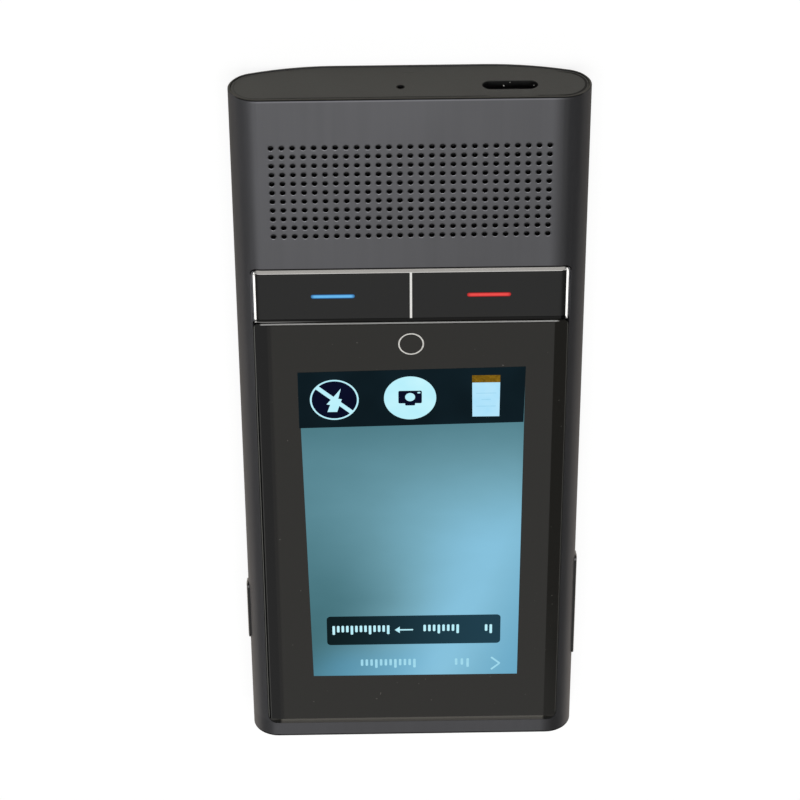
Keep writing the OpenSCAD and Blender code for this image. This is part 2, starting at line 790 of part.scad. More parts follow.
module red_key() {
    color([0.18, 0.18, 0.18]) mirror([1, 0, 0]) talk_key();
}

module blue_light_bar() {
    color([0.27, 0.63, 0.90]) light_bar();
}

module red_light_bar() {
    color([0.84, 0.14, 0.16]) mirror([1, 0, 0]) light_bar();
}

module key_board() {
    color([0.10, 0.30, 0.18])
        block([-key_board_half_w, y_pocket_near + 0.15, z_plate],
            [key_board_half_w, y_pocket_far - 0.15, z_key_board]);
}

module key_domes() {
    for (push = [-1, 1])
        translate([key_x + push * dome_x, y_keys, z_key_board])
            cylinder(d1 = dome_d, d2 = dome_d / 2, h = dome_h);
}

module blue_key_domes() {
    color([0.80, 0.80, 0.78]) key_domes();
}

module red_key_domes() {
    color([0.80, 0.80, 0.78]) mirror([1, 0, 0]) key_domes();
}

module key_leds() {
    color([0.95, 0.95, 0.85])
        for (side = [-1, 1], led = [-1, 1])
            translate([side * key_x + led * light_bar_len / 4, y_keys, z_key_board + led_h / 2])
                cube([led_w, led_w / 2, led_h], center = true);
}

module key_flex() {
    color([0.75, 0.45, 0.15]) {
        step_flex(0, key_flex_w, y_pocket_near + 0.1, z_plate + 0.05, y_key_slot,
            y_key_slot - connector_l - 0.4, z_board + connector_h);
        connector(0, key_flex_w, y_key_slot - connector_l - 0.4, y_key_slot - 0.4);
    }
}

// ---------- Side keys ----------

// A key at +X with its middle at y = 0: a pill that follows the sleeve's side, with its two
// ends cut back to a bright chamfer, on a flange that keeps it in the sleeve.
module side_key(len, flange_gap) {
    face_x = body_w / 2 + side_key_proud;
    flange_x = x_wall_in - flange_gap;
    past = 1;
    past_run = side_chamfer_run * (side_chamfer + past) / side_chamfer;
    intersection() {
        side_pill(len, side_key_h, flange_x - small, face_x + past);
        translate([side_x, len, z_side]) rotate([90, 0, 0])
            cylinder(r = side_r + side_key_proud, h = 2 * len);
        linear_extrude(body_t) polygon([
            [flange_x - 1, -len / 2], [face_x - side_chamfer, -len / 2],
            [face_x + past, past_run - len / 2], [face_x + past, len / 2 - past_run],
            [face_x - side_chamfer, len / 2], [flange_x - 1, len / 2]
        ]);
    }
    side_pill(len + 2 * side_flange_w, side_key_h + 2 * side_flange_w,
        flange_x - side_flange_t, flange_x);
}

module side_dome(y, flange_gap) {
    translate([x_wall_in - flange_gap - side_flange_t - touch - side_dome_h, y, z_side])
        rotate([0, 90, 0]) cylinder(d1 = side_dome_d, d2 = side_dome_d / 2, h = side_dome_h);
}

module side_board(len, x_floor) {
    block([x_floor + touch, -len / 2, z_side - flange_reach],
        [x_floor + touch + side_board_t, len / 2, z_side + flange_reach]);
}

module power_key() {
    color([0.17, 0.17, 0.17]) translate([0, y_power, 0]) side_key(power_len, power_flange_gap);
}

module power_dome() {
    color([0.80, 0.80, 0.78]) translate([0, y_power, 0]) side_dome(0, power_flange_gap);
}

module power_switch_board() {
    color([0.10, 0.30, 0.18]) translate([0, y_power, 0]) side_board(power_len, x_power_floor);
}

module volume_rocker() {
    color([0.17, 0.17, 0.17]) mirror([1, 0, 0])
        translate([0, y_volume, 0]) side_key(volume_len, volume_flange_gap);
}

module volume_domes() {
    color([0.80, 0.80, 0.78]) mirror([1, 0, 0]) translate([0, y_volume, 0])
        for (end = [-1, 1]) side_dome(end * volume_press, volume_flange_gap);
}

module volume_switch_board() {
    color([0.10, 0.30, 0.18]) mirror([1, 0, 0])
        translate([0, y_volume, 0]) side_board(volume_len, x_volume_floor);
}

// ---------- Boards ----------

module screw_holes() {
    for (place = screw_places)
        translate([place[0], place[1], z_board_in - 1])
            cylinder(r = screw_r + 0.15, h = board_t + 2);
}

module main_board() {
    color([0.08, 0.28, 0.16]) difference() {
        block([-board_half_w, y_board_near, z_board_in], [board_half_w, y_board_far, z_board]);
        screw_holes();
    }
}

module head_board() {
    half = camera_body_w / 2 + 0.2;
    color([0.08, 0.28, 0.16]) difference() {
        block([-board_half_w, y_head_board_near, z_board_in],
            [board_half_w, y_head_board_far, z_board]);
        screw_holes();
        block([-half, y_camera - half, z_board_in - 1], [half, y_camera + half, z_board + 1]);
    }
}

// A flat cable under the battery, with a plug on the underside of each board.
module link_flex() {
    y_a = y_board_far - 1.5 * link_plug_l;
    y_b = y_head_board_near + 1.5 * link_plug_l;
    z_plug = z_board_in - connector_h;
    color([0.75, 0.45, 0.15]) {
        step_flex(0, link_flex_w, y_a, z_plug - flex_t, y_board_far + 0.3,
            y_head_board_near - 0.6, z_link);
        step_flex(0, link_flex_w, y_b, z_plug - flex_t, y_head_board_near - 0.6,
            y_board_far + 0.3, z_link);
        for (y = [y_a, y_b])
            block([-link_flex_w / 2, y - link_plug_l / 2, z_plug],
                [link_flex_w / 2, y + link_plug_l / 2, z_board_in]);
    }
}

// A shield can from y0 to y1 on a face of the board: a pressed tray, open towards it.
module shield_can(y0, y1, z_face, up) {
    half = board_half_w - can_inset;
    z0 = up ? z_face : z_face - can_h;
    difference() {
        block([-half, y0, z0], [half, y1, z0 + can_h]);
        block([can_t - half, y0 + can_t, up ? z0 - 1 : z0 + can_t],
            [half - can_t, y1 - can_t, up ? z0 + can_h - can_t : z0 + can_h + 1]);
    }
}

module upper_shield_can() {
    color([0.75, 0.75, 0.77])
        shield_can(y_keys - upper_can_l / 2, y_keys + upper_can_l / 2, z_board, true);
}

module lower_shield_can() {
    color([0.75, 0.75, 0.77]) shield_can(y_port_screw + lower_can_gap,
        y_board_far - 2 * link_plug_l - lower_can_gap, z_board_in, false);
}

module board_screws() {
    color([0.70, 0.70, 0.72])
        for (place = screw_places)
            translate([place[0], place[1], z_board_in - screw_head_t]) difference() {
                union() {
                    cylinder(r = screw_head_r, h = screw_head_t);
                    cylinder(r = screw_r, h = screw_head_t + board_t + screw_bite);
                }
                for (turn = [0, 90]) rotate([0, 0, turn])
                    cube([1.2, 0.3, 0.5], center = true);
            }
}

// ---------- Charging socket and microphones ----------

module socket_slot(w, h, y0, y1) {
    translate([-port_x, y1, z_port_axis]) rotate([90, 0, 0]) linear_extrude(y1 - y0) pill(w, h);
}

module usb_socket_shell() {
    color([0.70, 0.70, 0.72]) difference() {
        socket_slot(socket_w, socket_h, -y_chassis, y_socket_in);
        socket_slot(socket_w - 2 * socket_t, socket_h - 2 * socket_t, -y_chassis - 1,
            y_socket_in - socket_t);
    }
}

module usb_socket_tongue() {
    color([0.10, 0.10, 0.10]) {
        socket_slot(socket_w - 2 * socket_t - 0.1, socket_h - 2 * socket_t - 0.1,
            y_socket_in - socket_t - 1.5, y_socket_in - socket_t - touch);
        block([-port_x - tongue_w / 2, tongue_in - y_chassis, z_port_axis - tongue_t / 2],
            [-port_x + tongue_w / 2, y_socket_in - socket_t - 1, z_port_axis + tongue_t / 2]);
    }
}

// At the head end. The charging end has the same pair, mirrored.
module mic_boot() {
    difference() {
        block([mic_x - boot_w, y_chassis - boot_l, z_mic - boot_h / 2],
            [mic_x + boot_w, y_chassis, z_mic + boot_h / 2]);
        mic_hole();
    }
}

module microphone() {
    block([mic_x - mic_w, y_chassis - boot_l - touch - mic_l, z_board],
        [mic_x + mic_w, y_chassis - boot_l - touch, z_mic + boot_h / 2 - 0.3]);
}

module head_mic_boot() {
    color([0.10, 0.10, 0.10]) mic_boot();
}

module port_mic_boot() {
    color([0.10, 0.10, 0.10]) mirror([0, 1, 0]) mic_boot();
}

module head_microphone() {
    color([0.80, 0.70, 0.35]) microphone();
}

module port_microphone() {
    color([0.80, 0.70, 0.35]) mirror([0, 1, 0]) microphone();
}

// ---------- Loudspeaker ----------

module cone_opening(inset) {
    translate([0, y_grille]) pill(cone_w - 2 * inset, cone_l - 2 * inset);
}

// Its front reaches over the charging socket, and its deep part stops short of it.
module speaker_box() {
    color([0.12, 0.12, 0.12]) difference() {
        union() {
            block([-speaker_w / 2, y_speaker_deep, z_board + touch],
                [speaker_w / 2, y_speaker_far, z_speaker]);
            block([-speaker_w / 2, y_speaker_near, z_speaker_rim],
                [speaker_w / 2, y_speaker_far, z_speaker]);
        }
        translate([0, 0, z_speaker - cone_depth]) linear_extrude(cone_depth + 1) cone_opening(0);
    }
}

module speaker_diaphragm() {
    color([0.30, 0.30, 0.32]) translate([0, 0, z_speaker - cone_depth]) {
        linear_extrude(cone_t) cone_opening(touch);
        linear_extrude(cone_t + 0.2) cone_opening(cone_l / 6);
    }
}

module speaker_gasket() {
    color([0.05, 0.05, 0.05]) translate([0, 0, z_speaker]) linear_extrude(z_mesh_in - z_speaker)
        translate([0, y_grille]) difference() {
            square([min(speaker_w, mesh_w), min(speaker_len, mesh_l)], center = true);
            square([min(speaker_w, mesh_w) - 2 * gasket_w,
                min(speaker_len, mesh_l) - 2 * gasket_w], center = true);
        }
}

module speaker_mesh() {
    color([0.06, 0.06, 0.06]) translate([0, y_grille, z_mesh_in + mesh_t / 2])
        cube([mesh_w, mesh_l, mesh_t], center = true);
}

module speaker_contacts() {
    color([0.85, 0.70, 0.35]) for (side = [-1, 1])
        translate([side * (speaker_w / 2 - contact_inset), y_speaker_far + touch, z_board])
            translate([-contact_w / 2, 0, 0]) cube([contact_w, contact_t, contact_h]);
}

// ---------- Battery ----------

// Across the body: a pouch with rounded long sides.
module battery_section(top_drop = 0) {
    x = battery_w / 2 - battery_round;
    z1 = z_battery - top_drop;
    translate([-x, z_battery_in]) square([2 * x, z1 - z_battery_in]);
    translate([-battery_w / 2, z_battery_in + battery_round])
        square([battery_w, z1 - z_battery_in - 2 * battery_round]);
    for (side = [-1, 1], z = [z_battery_in + battery_round, z1 - battery_round])
        translate([side * x, z]) circle(battery_round);
}

module battery() {
    color([0.72, 0.72, 0.74]) {
        translate([0, y_battery_far, 0]) rotate([90, 0, 0])
            linear_extrude(y_battery_far - y_battery_near - terrace_l) battery_section();
        translate([0, y_battery_near + terrace_l + small, 0]) rotate([90, 0, 0])
            linear_extrude(terrace_l + small) battery_section(terrace_drop);
    }
}

module battery_tape() {
    color([0.90, 0.88, 0.80]) for (side = [-1, 1])
        block([side * battery_w / 4 - battery_tape_w / 2, y_battery_near + terrace_l + 2, z_battery],
            [side * battery_w / 4 + battery_tape_w / 2, y_battery_far - 2, z_plate_in]);
}

module battery_lead() {
    lead_x = display_flex_w / 2 + lead_w + 1;
    color([0.75, 0.45, 0.15]) {
        connector(lead_x, lead_w + 1, y_plug, y_plug + connector_l);
        block([lead_x - lead_w / 2, y_plug, z_board + connector_h],
            [lead_x + lead_w / 2, y_battery_near - touch, z_board + connector_h + flex_t]);
    }
}

// ---------- Head end ----------

module vibration_motor() {
    color([0.75, 0.75, 0.77]) translate([motor_inset - board_half_w, y_camera, z_board + touch])
        cylinder(d = motor_d, h = z_plate_in - z_board - 2 * touch);
}

module head_antenna() {
    x0 = antenna_inset - board_half_w;
    z1 = z_board_in - 0.2;
    color([0.80, 0.60, 0.25]) block([x0, y_chassis - 0.2, z1 - antenna_h],
        [x0 + antenna_l, y_chassis, z1]);
}

module camera_module() {
    half = camera_body_w / 2;
    color([0.10, 0.10, 0.10]) difference() {
        union() {
            block([-half, y_camera - half, z_camera], [half, y_camera + half, z_plate_in - touch]);
            translate([0, y_camera, z_barrel]) cylinder(r = camera_barrel_r, h = z_camera - z_barrel + small);
        }
        translate([0, y_camera, z_barrel - 1]) cylinder(r = camera_barrel_r - 0.8, h = 1.8);
    }
}

module camera_lens() {
    color([0.15, 0.12, 0.25]) translate([0, y_camera, z_barrel + 0.25])
        cylinder(r = camera_barrel_r - 0.85, h = 0.5);
}

module camera_window() {
    color([0.10, 0.10, 0.12]) translate([0, y_camera, z_window])
        cylinder(r = window_d / 2 - 0.03, h = window_t);
}

// A bright ring with a lip over the window and a flange inside the sleeve.
module camera_ring() {
    color([0.60, 0.60, 0.62]) translate([0, y_camera, 0]) difference() {
        union() {
            translate([0, 0, z_window / 2]) cylinder(r = ring_r, h = z_ring_flange);
            translate([0, 0, z_ring_flange]) cylinder(r = ring_r + ring_flange, h = ring_flange_t);
        }
        translate([0, 0, -1]) cylinder(r = window_d / 2, h = 1 + z_window + window_t + touch);
        cylinder(r = window_d / 2 - 0.5, h = wall + 2);
    }
}

module flash_led() {
    color([0.95, 0.90, 0.50]) translate([flash_x, y_camera, z_board_in - led_body_h / 2])
        cube([led_body, led_body, led_body_h], center = true);
}

// A clear lens whose stem reaches up to the lamp.
module flash_lens() {
    color([0.90, 0.90, 0.85]) translate([flash_x, y_camera, 0]) {
        translate([0, 0, z_window]) cylinder(d = flash_d, h = z_ring_flange - z_window + small);
        translate([0, 0, z_ring_flange]) cylinder(d = flash_d + 1, h = ring_flange_t);
        translate([0, 0, z_ring_flange])
            cylinder(d = flash_d - 0.8, h = z_board_in - led_body_h - touch - z_ring_flange);
    }
}

housing();
port_end_cap();
head_end_cap();
cover_glass();
glass_tape();
display_cell();
backlight();
display_flex();
chassis();
key_trim_frame();
blue_key();
blue_light_bar();
red_key();
red_light_bar();
key_board();
blue_key_domes();
red_key_domes();
key_leds();
key_flex();
power_key();
power_switch_board();
power_dome();
volume_rocker();
volume_switch_board();
volume_domes();
main_board();
head_board();
link_flex();
upper_shield_can();
lower_shield_can();
usb_socket_shell();
usb_socket_tongue();
port_microphone();
port_mic_boot();
head_microphone();
head_mic_boot();
speaker_box();
speaker_diaphragm();
speaker_gasket();
speaker_mesh();
speaker_contacts();
battery();
battery_tape();
battery_lead();
vibration_motor();
head_antenna();
camera_module();
camera_lens();
camera_window();
camera_ring();
flash_led();
flash_lens();
board_screws();
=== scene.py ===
# %% [markdown]
# # A pocket speech translator, dressed for its portrait
# The object is a slim metal sleeve with a cap at each end. On its front are a field of drilled
# holes over a loudspeaker, two long talk keys in a bright frame, and a touch screen with a lit
# picture. Its solids come finished from CAD, in metres, and nothing here moves or reshapes them.
# What Blender adds is the surface: anodised metal, glass, printed ink and light.

# %% Load the frame
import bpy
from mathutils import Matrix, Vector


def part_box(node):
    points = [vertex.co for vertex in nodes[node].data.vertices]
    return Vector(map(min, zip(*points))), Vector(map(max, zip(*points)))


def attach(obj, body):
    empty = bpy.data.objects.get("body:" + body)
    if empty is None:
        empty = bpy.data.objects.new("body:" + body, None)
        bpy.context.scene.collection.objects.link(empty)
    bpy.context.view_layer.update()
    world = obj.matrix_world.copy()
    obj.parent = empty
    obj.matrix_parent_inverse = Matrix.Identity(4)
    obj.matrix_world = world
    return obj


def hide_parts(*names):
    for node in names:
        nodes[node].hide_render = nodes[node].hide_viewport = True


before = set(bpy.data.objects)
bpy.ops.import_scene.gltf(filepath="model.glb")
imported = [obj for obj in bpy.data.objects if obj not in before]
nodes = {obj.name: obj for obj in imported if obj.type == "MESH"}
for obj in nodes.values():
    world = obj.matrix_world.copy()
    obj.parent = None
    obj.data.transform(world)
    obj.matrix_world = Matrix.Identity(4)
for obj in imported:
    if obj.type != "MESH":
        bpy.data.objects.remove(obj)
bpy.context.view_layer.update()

import math

import bmesh
import bpy
from mathutils import Matrix, Vector

MM = 0.001

# %% [markdown]
# ## The camera
# The photograph looks down the device from its charging end, and the picture is upside down for
# whoever holds it. A camera is a place, a direction and an up direction. Writing its three axes
# as the columns of a matrix is clearer than Euler angles, because each column says what it is.

# %% Camera
def aim(place, forward, up):
    """A world matrix for a camera or a lamp: both look along their own -Z."""
    back = -Vector(forward).normalized()
    right = Vector(up).cross(back).normalized()
    turned = Matrix((right, back.cross(right), back)).transposed()
    return Matrix.Translation(Vector(place)) @ turned.to_4x4()


portrait = bpy.data.cameras.new("portrait")
portrait.sensor_width = 36.0
portrait.lens = 135.91
camera = bpy.data.objects.new("portrait", portrait)
camera.matrix_world = aim(
    place=(0.007536, -0.303330, 0.432524),
    forward=(-0.01092, 0.573577, -0.819079),
    up=(-0.013408, -0.819138, -0.573440))
bpy.context.collection.objects.link(camera)
bpy.context.scene.camera = camera
bpy.context.scene.view_settings.view_transform = "Standard"
print("camera at", [round(value, 3) for value in camera.location], "lens", portrait.lens)

# %% [markdown]
# ## Shader maths as plain expressions
# A finish is a graph of nodes, and a graph is hard to read in code. Wrapping a socket in a small
# class lets Python's own operators add the Math nodes, so `1 - mask * 0.5` is three sockets and
# two nodes. Everything else comes from one method, `add`, which takes the node's type, its
# settings and its inputs. Colours are written as a screen shows them, from 0 to 255, and turned
# into the linear values that light is added up in.

# %% A socket that takes part in sums
class Wire:
    """One output socket of a finish's graph. Python's operators on it add Math nodes."""

    def __init__(self, finish, socket):
        self.finish = finish
        self.socket = socket

    def __add__(self, other): return self.finish.math("ADD", self, other)
    def __radd__(self, other): return self.finish.math("ADD", other, self)
    def __sub__(self, other): return self.finish.math("SUBTRACT", self, other)
    def __rsub__(self, other): return self.finish.math("SUBTRACT", other, self)
    def __mul__(self, other): return self.finish.math("MULTIPLY", self, other)
    def __rmul__(self, other): return self.finish.math("MULTIPLY", other, self)
    def __truediv__(self, other): return self.finish.math("DIVIDE", self, other)
    def __rtruediv__(self, other): return self.finish.math("DIVIDE", other, self)
    def __pow__(self, other): return self.finish.math("POWER", self, other)
    def __abs__(self): return self.finish.math("ABSOLUTE", self)
    def low(self, other): return self.finish.math("MINIMUM", self, other)
    def high(self, other): return self.finish.math("MAXIMUM", self, other)
    def sine(self): return self.finish.math("SINE", self)
    def part(self): return self.finish.math("FRACT", self)


def shown(red, green, blue):
    """A colour as a screen shows it, 0 to 255, as linear RGBA."""
    def linear(value):
        part = value / 255
        return part / 12.92 if part <= 0.04045 else ((part + 0.055) / 1.055) ** 2.4
    return (linear(red), linear(green), linear(blue), 1.0)


print("a grey of 94 on screen is", round(shown(94, 94, 96)[0], 3), "in light")

# %% A finish and its graph
finishes = {}


class Finish:
    """A material whose graph is written as expressions. Patterns are in millimetres."""

    def __init__(self, name, **constants):
        self.material = bpy.data.materials.new(name)
        self.material.use_nodes = True
        self.graph = self.material.node_tree
        self.shader = self.graph.nodes["Principled BSDF"]
        for socket, value in constants.items():
            self.shader.inputs[socket.replace("_", " ")].default_value = value
        finishes[name] = self

    def add(self, kind, settings=None, sockets=None, out=0):
        """Any node: its type, its settings, what goes into its sockets, and the output to use."""
        node = self.graph.nodes.new("ShaderNode" + kind)
        for name, value in (settings or {}).items():
            if name == "stops":
                for stop, (position, colour) in zip(self.stops(node, len(value)), value):
                    stop.position, stop.color = position, colour
            else:
                setattr(node, name, value)
        for name, value in (sockets or {}).items():
            if isinstance(value, Wire):
                self.graph.links.new(value.socket, node.inputs[name])
            else:
                node.inputs[name].default_value = value
        return Wire(self, node.outputs[out])

    @staticmethod
    def stops(ramp, count):
        while len(ramp.color_ramp.elements) < count:
            ramp.color_ramp.elements.new(1.0)
        return ramp.color_ramp.elements

    def math(self, operation, *values):
        return self.add("Math", {"operation": operation}, dict(enumerate(values)))

    def place(self, stretch=(1, 1, 1)):
        """Where a point is on the object, in millimetres, each axis stretched to taste."""
        return self.add("Mapping", {}, {
            "Vector": self.add("TexCoord", out="Object"),
            "Scale": tuple(each / MM for each in stretch)}, out="Vector")

    def axes(self):
        place = self.place()
        return [self.add("SeparateXYZ", {}, {"Vector": place}, out=axis) for axis in "XYZ"]

    def noise(self, size, stretch=(1, 1, 1), detail=2.0):
        """Cloudy noise from 0 to 1 whose lumps are about size millimetres across."""
        return self.add("TexNoise", {}, {
            "Vector": self.place(stretch), "Scale": 1.0 / size, "Detail": detail}, out="Fac")

    def span(self, value, low, high, to_low=0.0, to_high=1.0):
        """Maps low..high to to_low..to_high, smoothly and without overshoot."""
        return self.add("MapRange", {"interpolation_type": "SMOOTHSTEP"}, {
            "Value": value, "From Min": low, "From Max": high,
            "To Min": to_low, "To Max": to_high}, out="Result")

    def band(self, value, start, full, fade, end):
        """A soft stripe: 0 up to start, 1 from full to fade, and 0 again past end."""
        return self.span(value, start, full) * self.span(value, end, fade)

    def mix(self, share, first, second):
        """The first colour where share is 0, the second where it is 1."""
        return self.add("Mix", {"data_type": "RGBA"}, {0: share, 6: first, 7: second}, out=2)

    def feed(self, **links):
        for socket, wire in links.items():
            self.graph.links.new(wire.socket, self.shader.inputs[socket.replace("_", " ")])
        return self

    def darken(self, share):
        """Lays near-black over the colour that the finish already has."""
        under = self.shader.inputs["Base Color"].links[0].from_socket
        return self.feed(Base_Color=self.mix(share, Wire(self, under), shown(9, 9, 9)))

    def bump(self, height, depth):
        """Fine relief: height from 0 to 1 stands for depth millimetres."""
        return self.feed(Normal=self.add("Bump", {}, {
            "Height": height, "Strength": 1.0, "Distance": depth * MM}, out="Normal"))


print("finishes are kept by name; made so far:", len(finishes))

# %% [markdown]
# ## From a bmesh to a piece
# New shapes are built in millimetres, because that is how one thinks about something this small.
# One helper scales each to metres and makes its object, which stays at the origin.

# %% A shape becomes a piece
def as_piece(name, shape, finish):
    """Makes an object of a bmesh in millimetres, and frees the bmesh."""
    bmesh.ops.scale(shape, verts=shape.verts, vec=(MM, MM, MM))
    piece = bpy.data.objects.new(name, bpy.data.meshes.new(name))
    shape.to_mesh(piece.data)
    shape.free()
    piece.data.materials.append(finish.material)
    bpy.context.collection.objects.link(piece)
    print(name, "has", len(piece.data.polygons), "faces")
    return piece


# %% [markdown]
# ## Floor and light
# The device was photographed on a white sweep under soft light. The floor here is pale and
# really catches the shadow, and for the camera most of its brightness is fixed at white, so the
# background stays white without more light on the object. A mirror sees the table darker close to
# the device, where the camera and the device take its light, and white farther off. One wide soft
# lamp hangs over the far end, where the flat front mirrors it into the camera. The main one hangs
# above, out of every mirror's way, and makes the soft shadow. Five narrow cards stand where the
# cut faces of the bright frame mirror them, so that thin metal edges light up and little else.

# %% Floor
FLOOR_HALF = 4000.0                        # half its width, mm
FIXED_SHARE = 0.86                         # how much of its brightness is fixed
OVER_WHITE = (1.035, 1.035, 1.035, 1)      # what the camera sees of it, so that it clips to white

paper = Finish("pale_floor")
lit_paper = paper.add("BsdfDiffuse", {}, {"Color": shown(246, 246, 245)})
straight = paper.add("LightPath", out="Is Camera Ray")
glossy = paper.add("LightPath", out="Is Glossy Ray")
mirrored = glossy.high(paper.add("LightPath", out="Is Transmission Ray"))
across, along_y, _ = paper.axes()
distance = (across * across + along_y * along_y) ** 0.5
close_table = paper.mix(paper.span(along_y, -70.0, 90.0), (0.27, 0.245, 0.215, 1),
                        (0.72, 0.65, 0.58, 1))
table = paper.mix(paper.span(distance, 60.0, 220.0), close_table, (1.0, 0.97, 0.93, 1))
white = paper.add("Emission", {}, {
    "Color": paper.mix(mirrored, OVER_WHITE, table), "Strength": 1.0})
floor_look = paper.add("MixShader", {}, {
    0: straight.high(mirrored) * FIXED_SHARE, 1: lit_paper, 2: white})
paper.graph.links.new(floor_look.socket, paper.graph.nodes["Material Output"].inputs["Surface"])

sheet = bmesh.new()
bmesh.ops.create_grid(sheet, x_segments=1, y_segments=1, size=FLOOR_HALF)
floor = as_piece("floor", sheet, paper)

# %% Lamps and world
CARD = 0.14                                # width of the cards at the sides, m


def softbox(name, place, towards, size, power, colour=(1, 1, 1)):
    lamp = bpy.data.lights.new(name, "AREA")
    lamp.shape = "RECTANGLE"
    lamp.size, lamp.size_y = size
    lamp.energy = power
    lamp.color = colour
    box = bpy.data.objects.new(name, lamp)
    box.matrix_world = aim(place, Vector(towards) - Vector(place), (0, 1, 0.01))
    bpy.context.collection.objects.link(box)


softbox("overhead", (0.07, 0.75, 1.10), (0, 0, 0), (0.9, 1.0), 2.07)
softbox("main", (0.0, -0.25, 1.60), (0, 0, 0), (1.2, 0.9), 20.0)
softbox("near_card", (0.0, -0.62, 0.96), (0, -0.03, 0), (1.0, 0.12), 0.106, (1, 0.97, 0.94))
softbox("left_card", (0.75, 0.60, 0.615), (0.026, -0.03, 0), (CARD, CARD), 0.09)
softbox("right_card", (-0.75, 0.575, 0.59), (-0.026, -0.03, 0), (CARD, CARD), 0.09)
softbox("left_corner_card", (0.79, -0.12, 0.64), (0.026, -0.034, 0), (CARD, 0.74), 0.45)
softbox("right_corner_card", (-0.79, -0.12, 0.64), (-0.026, -0.034, 0), (CARD, 0.74), 0.45)

studio = bpy.data.worlds.new("studio")
bpy.context.scene.world = studio
studio.use_nodes = True
studio.node_tree.nodes["Background"].inputs["Color"].default_value = (1, 1, 1, 1)
studio.node_tree.nodes["Background"].inputs["Strength"].default_value = 0.13

# %% [markdown]
# ## Where things are
# The finishes draw grooves, ground edges, painted shade and painted highlights at their places on
# the object, so those places come first. Where a part's box gives them, they are read from the
# frame. The rest are sizes that the CAD part was built from. Left and right are those of the
# photograph, in which the camera's up direction points back at the charging end, so left is +X.

# %% Sleeve, window and grille, in millimetres
body_low, body_high = (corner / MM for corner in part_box("housing"))
frame_low, frame_high = (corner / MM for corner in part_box("key_trim_frame"))
glass_low, glass_high = (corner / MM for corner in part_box("cover_glass"))
END_Y, TOP = body_high.y, body_high.z
CAP_Y = -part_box("port_end_cap")[0].y / MM  # the caps' faces
SIDE_X, SIDE_Z, SIDE_R = 24.55, 6.7, 4.7   # each long side is an arc about this line
BACK_X = 12.0                              # half the flat strip of the back
FOOT = 0.55                                # the frame's foot reaches this far past its top
FRAME_X = frame_high.x
FRAME_NEAR, FRAME_FAR = frame_low.y + FOOT, frame_high.y - FOOT
FRAME_BAR = 0.55                           # width of the frame's bars, seen from above
GAP = 0.12                                 # between glass and sleeve
WINDOW_X = glass_high.x + GAP
WINDOW_NEAR = FRAME_NEAR - 0.28
WINDOW_R = 0.9 + GAP                       # its near corners
PITCH_X, PITCH_Y = 1.73, 1.67              # from hole to hole in the grille
HOLE_R = 0.45
GRILLE_Y = body_low.y + 17.15
FIELD_X, FIELD_Y = 23.25, 8.95             # half the drilled field
MIC_X, MIC_Z = 1.5, TOP - 4.2              # the microphone hole in each cap
PORT_X = -16.3                             # middle of the charging slot
print("frame", [round(value, 2) for value in (FRAME_X, FRAME_NEAR, FRAME_FAR)],
      "glass", [round(value, 2) for value in (*glass_low, *glass_high)])

# %% [markdown]
# ## The sleeve
# The sleeve is extruded aluminium, bead-blasted and anodised dark grey. Real anodised metal is a
# rough mirror: its colour is in its reflection, so it goes dark where it turns from the lamp and
# light again at the very edge, where it mirrors the table. A metallic Principled shader does
# this by itself. The blasting is a very fine relief, and the extrusion leaves faint streaks
# along the length, so one noise is stretched along Y.

# %% Anodised metal
STREAK = 0.03                              # share of the noise's scale that is left along Y

sleeve = Finish("anodised_sleeve", Metallic=0.85)
across, along_y, up = sleeve.axes()
grain = sleeve.noise(0.12, detail=1.0)
streaks = sleeve.noise(1.2, stretch=(1, STREAK, 1), detail=3.0)
cloud = sleeve.noise(20.0, detail=1.0)
# Part real tone, part painted light: the last share makes the sleeve lighter towards its left
# side (+X).
tone_and_painted_light = streaks * 0.3 + grain * 0.2 + cloud * 0.4 + sleeve.span(across, -26.0, 26.0) * 0.1
metal_colour = sleeve.mix(tone_and_painted_light, shown(80, 80, 82), shown(101, 101, 104))
print("a streak is about", round(1 / STREAK), "times as long as it is wide")

# %% [markdown]
# ### Marks on the sleeve, with painted shade and painted highlights
# The holes are real ones, cut in CAD. Their walls get painted shade, the drill has broken each
# rim, and one side of each rim gets a painted highlight. FRACT folds the whole field into one
# pitch, so
# a repeated pattern needs only one hole: what is left is the way to the middle of the nearest
# hole.
# Round the window, the edge is broken too: painted shade where it turns to the far end, painted
# highlights at the sides.

# %% Holes of the grille
beside = ((across / PITCH_X + 0.5).part() - 0.5) * PITCH_X
behind = (((along_y - GRILLE_Y) / PITCH_Y + 0.5).part() - 0.5) * PITCH_Y
from_hole = (beside * beside + behind * behind) ** 0.5
in_grille = sleeve.span(abs(across), FIELD_X + 0.05, FIELD_X) \
    * sleeve.span(abs(along_y - GRILLE_Y), FIELD_Y + 0.05, FIELD_Y)
# Painted shade on the walls of the holes.
hole_wall_shade = in_grille * sleeve.band(up, 8.0, 8.5, TOP - 0.12, TOP - 0.04)
hole_rim = in_grille * sleeve.span(from_hole, HOLE_R + 0.13, HOLE_R)
# Painted highlight on one side of each hole's rim, at the top.
lit_rim = hole_rim * sleeve.span(behind - beside * 0.3, 0.1, 0.3) \
    * sleeve.span(up, TOP - 0.04, TOP - 0.01)
print("the drilled field is", 2 * FIELD_X, "by", 2 * FIELD_Y, "mm")

# %% Edge of the window
side_way = (abs(across) - (WINDOW_X - WINDOW_R)).high(0.0)
near_way = (WINDOW_NEAR + WINDOW_R - along_y).high(0.0)
from_window = (side_way * side_way + near_way * near_way) ** 0.5 - WINDOW_R
at_window = sleeve.span(from_window, 0.24, 0.16) * sleeve.span(up, TOP - 1.0, TOP - 0.8)
# Painted shade where the window's edge turns to the far end, and a painted highlight along its
# sides.
near_edge_shade = at_window * sleeve.span(along_y, WINDOW_NEAR + 1.4, WINDOW_NEAR + 0.7)
side_edge_highlight = (at_window - near_edge_shade).high(0.0) * sleeve.span(along_y, FRAME_FAR + 0.4, FRAME_FAR)
print("the window's corner has a radius of", WINDOW_R, "mm")
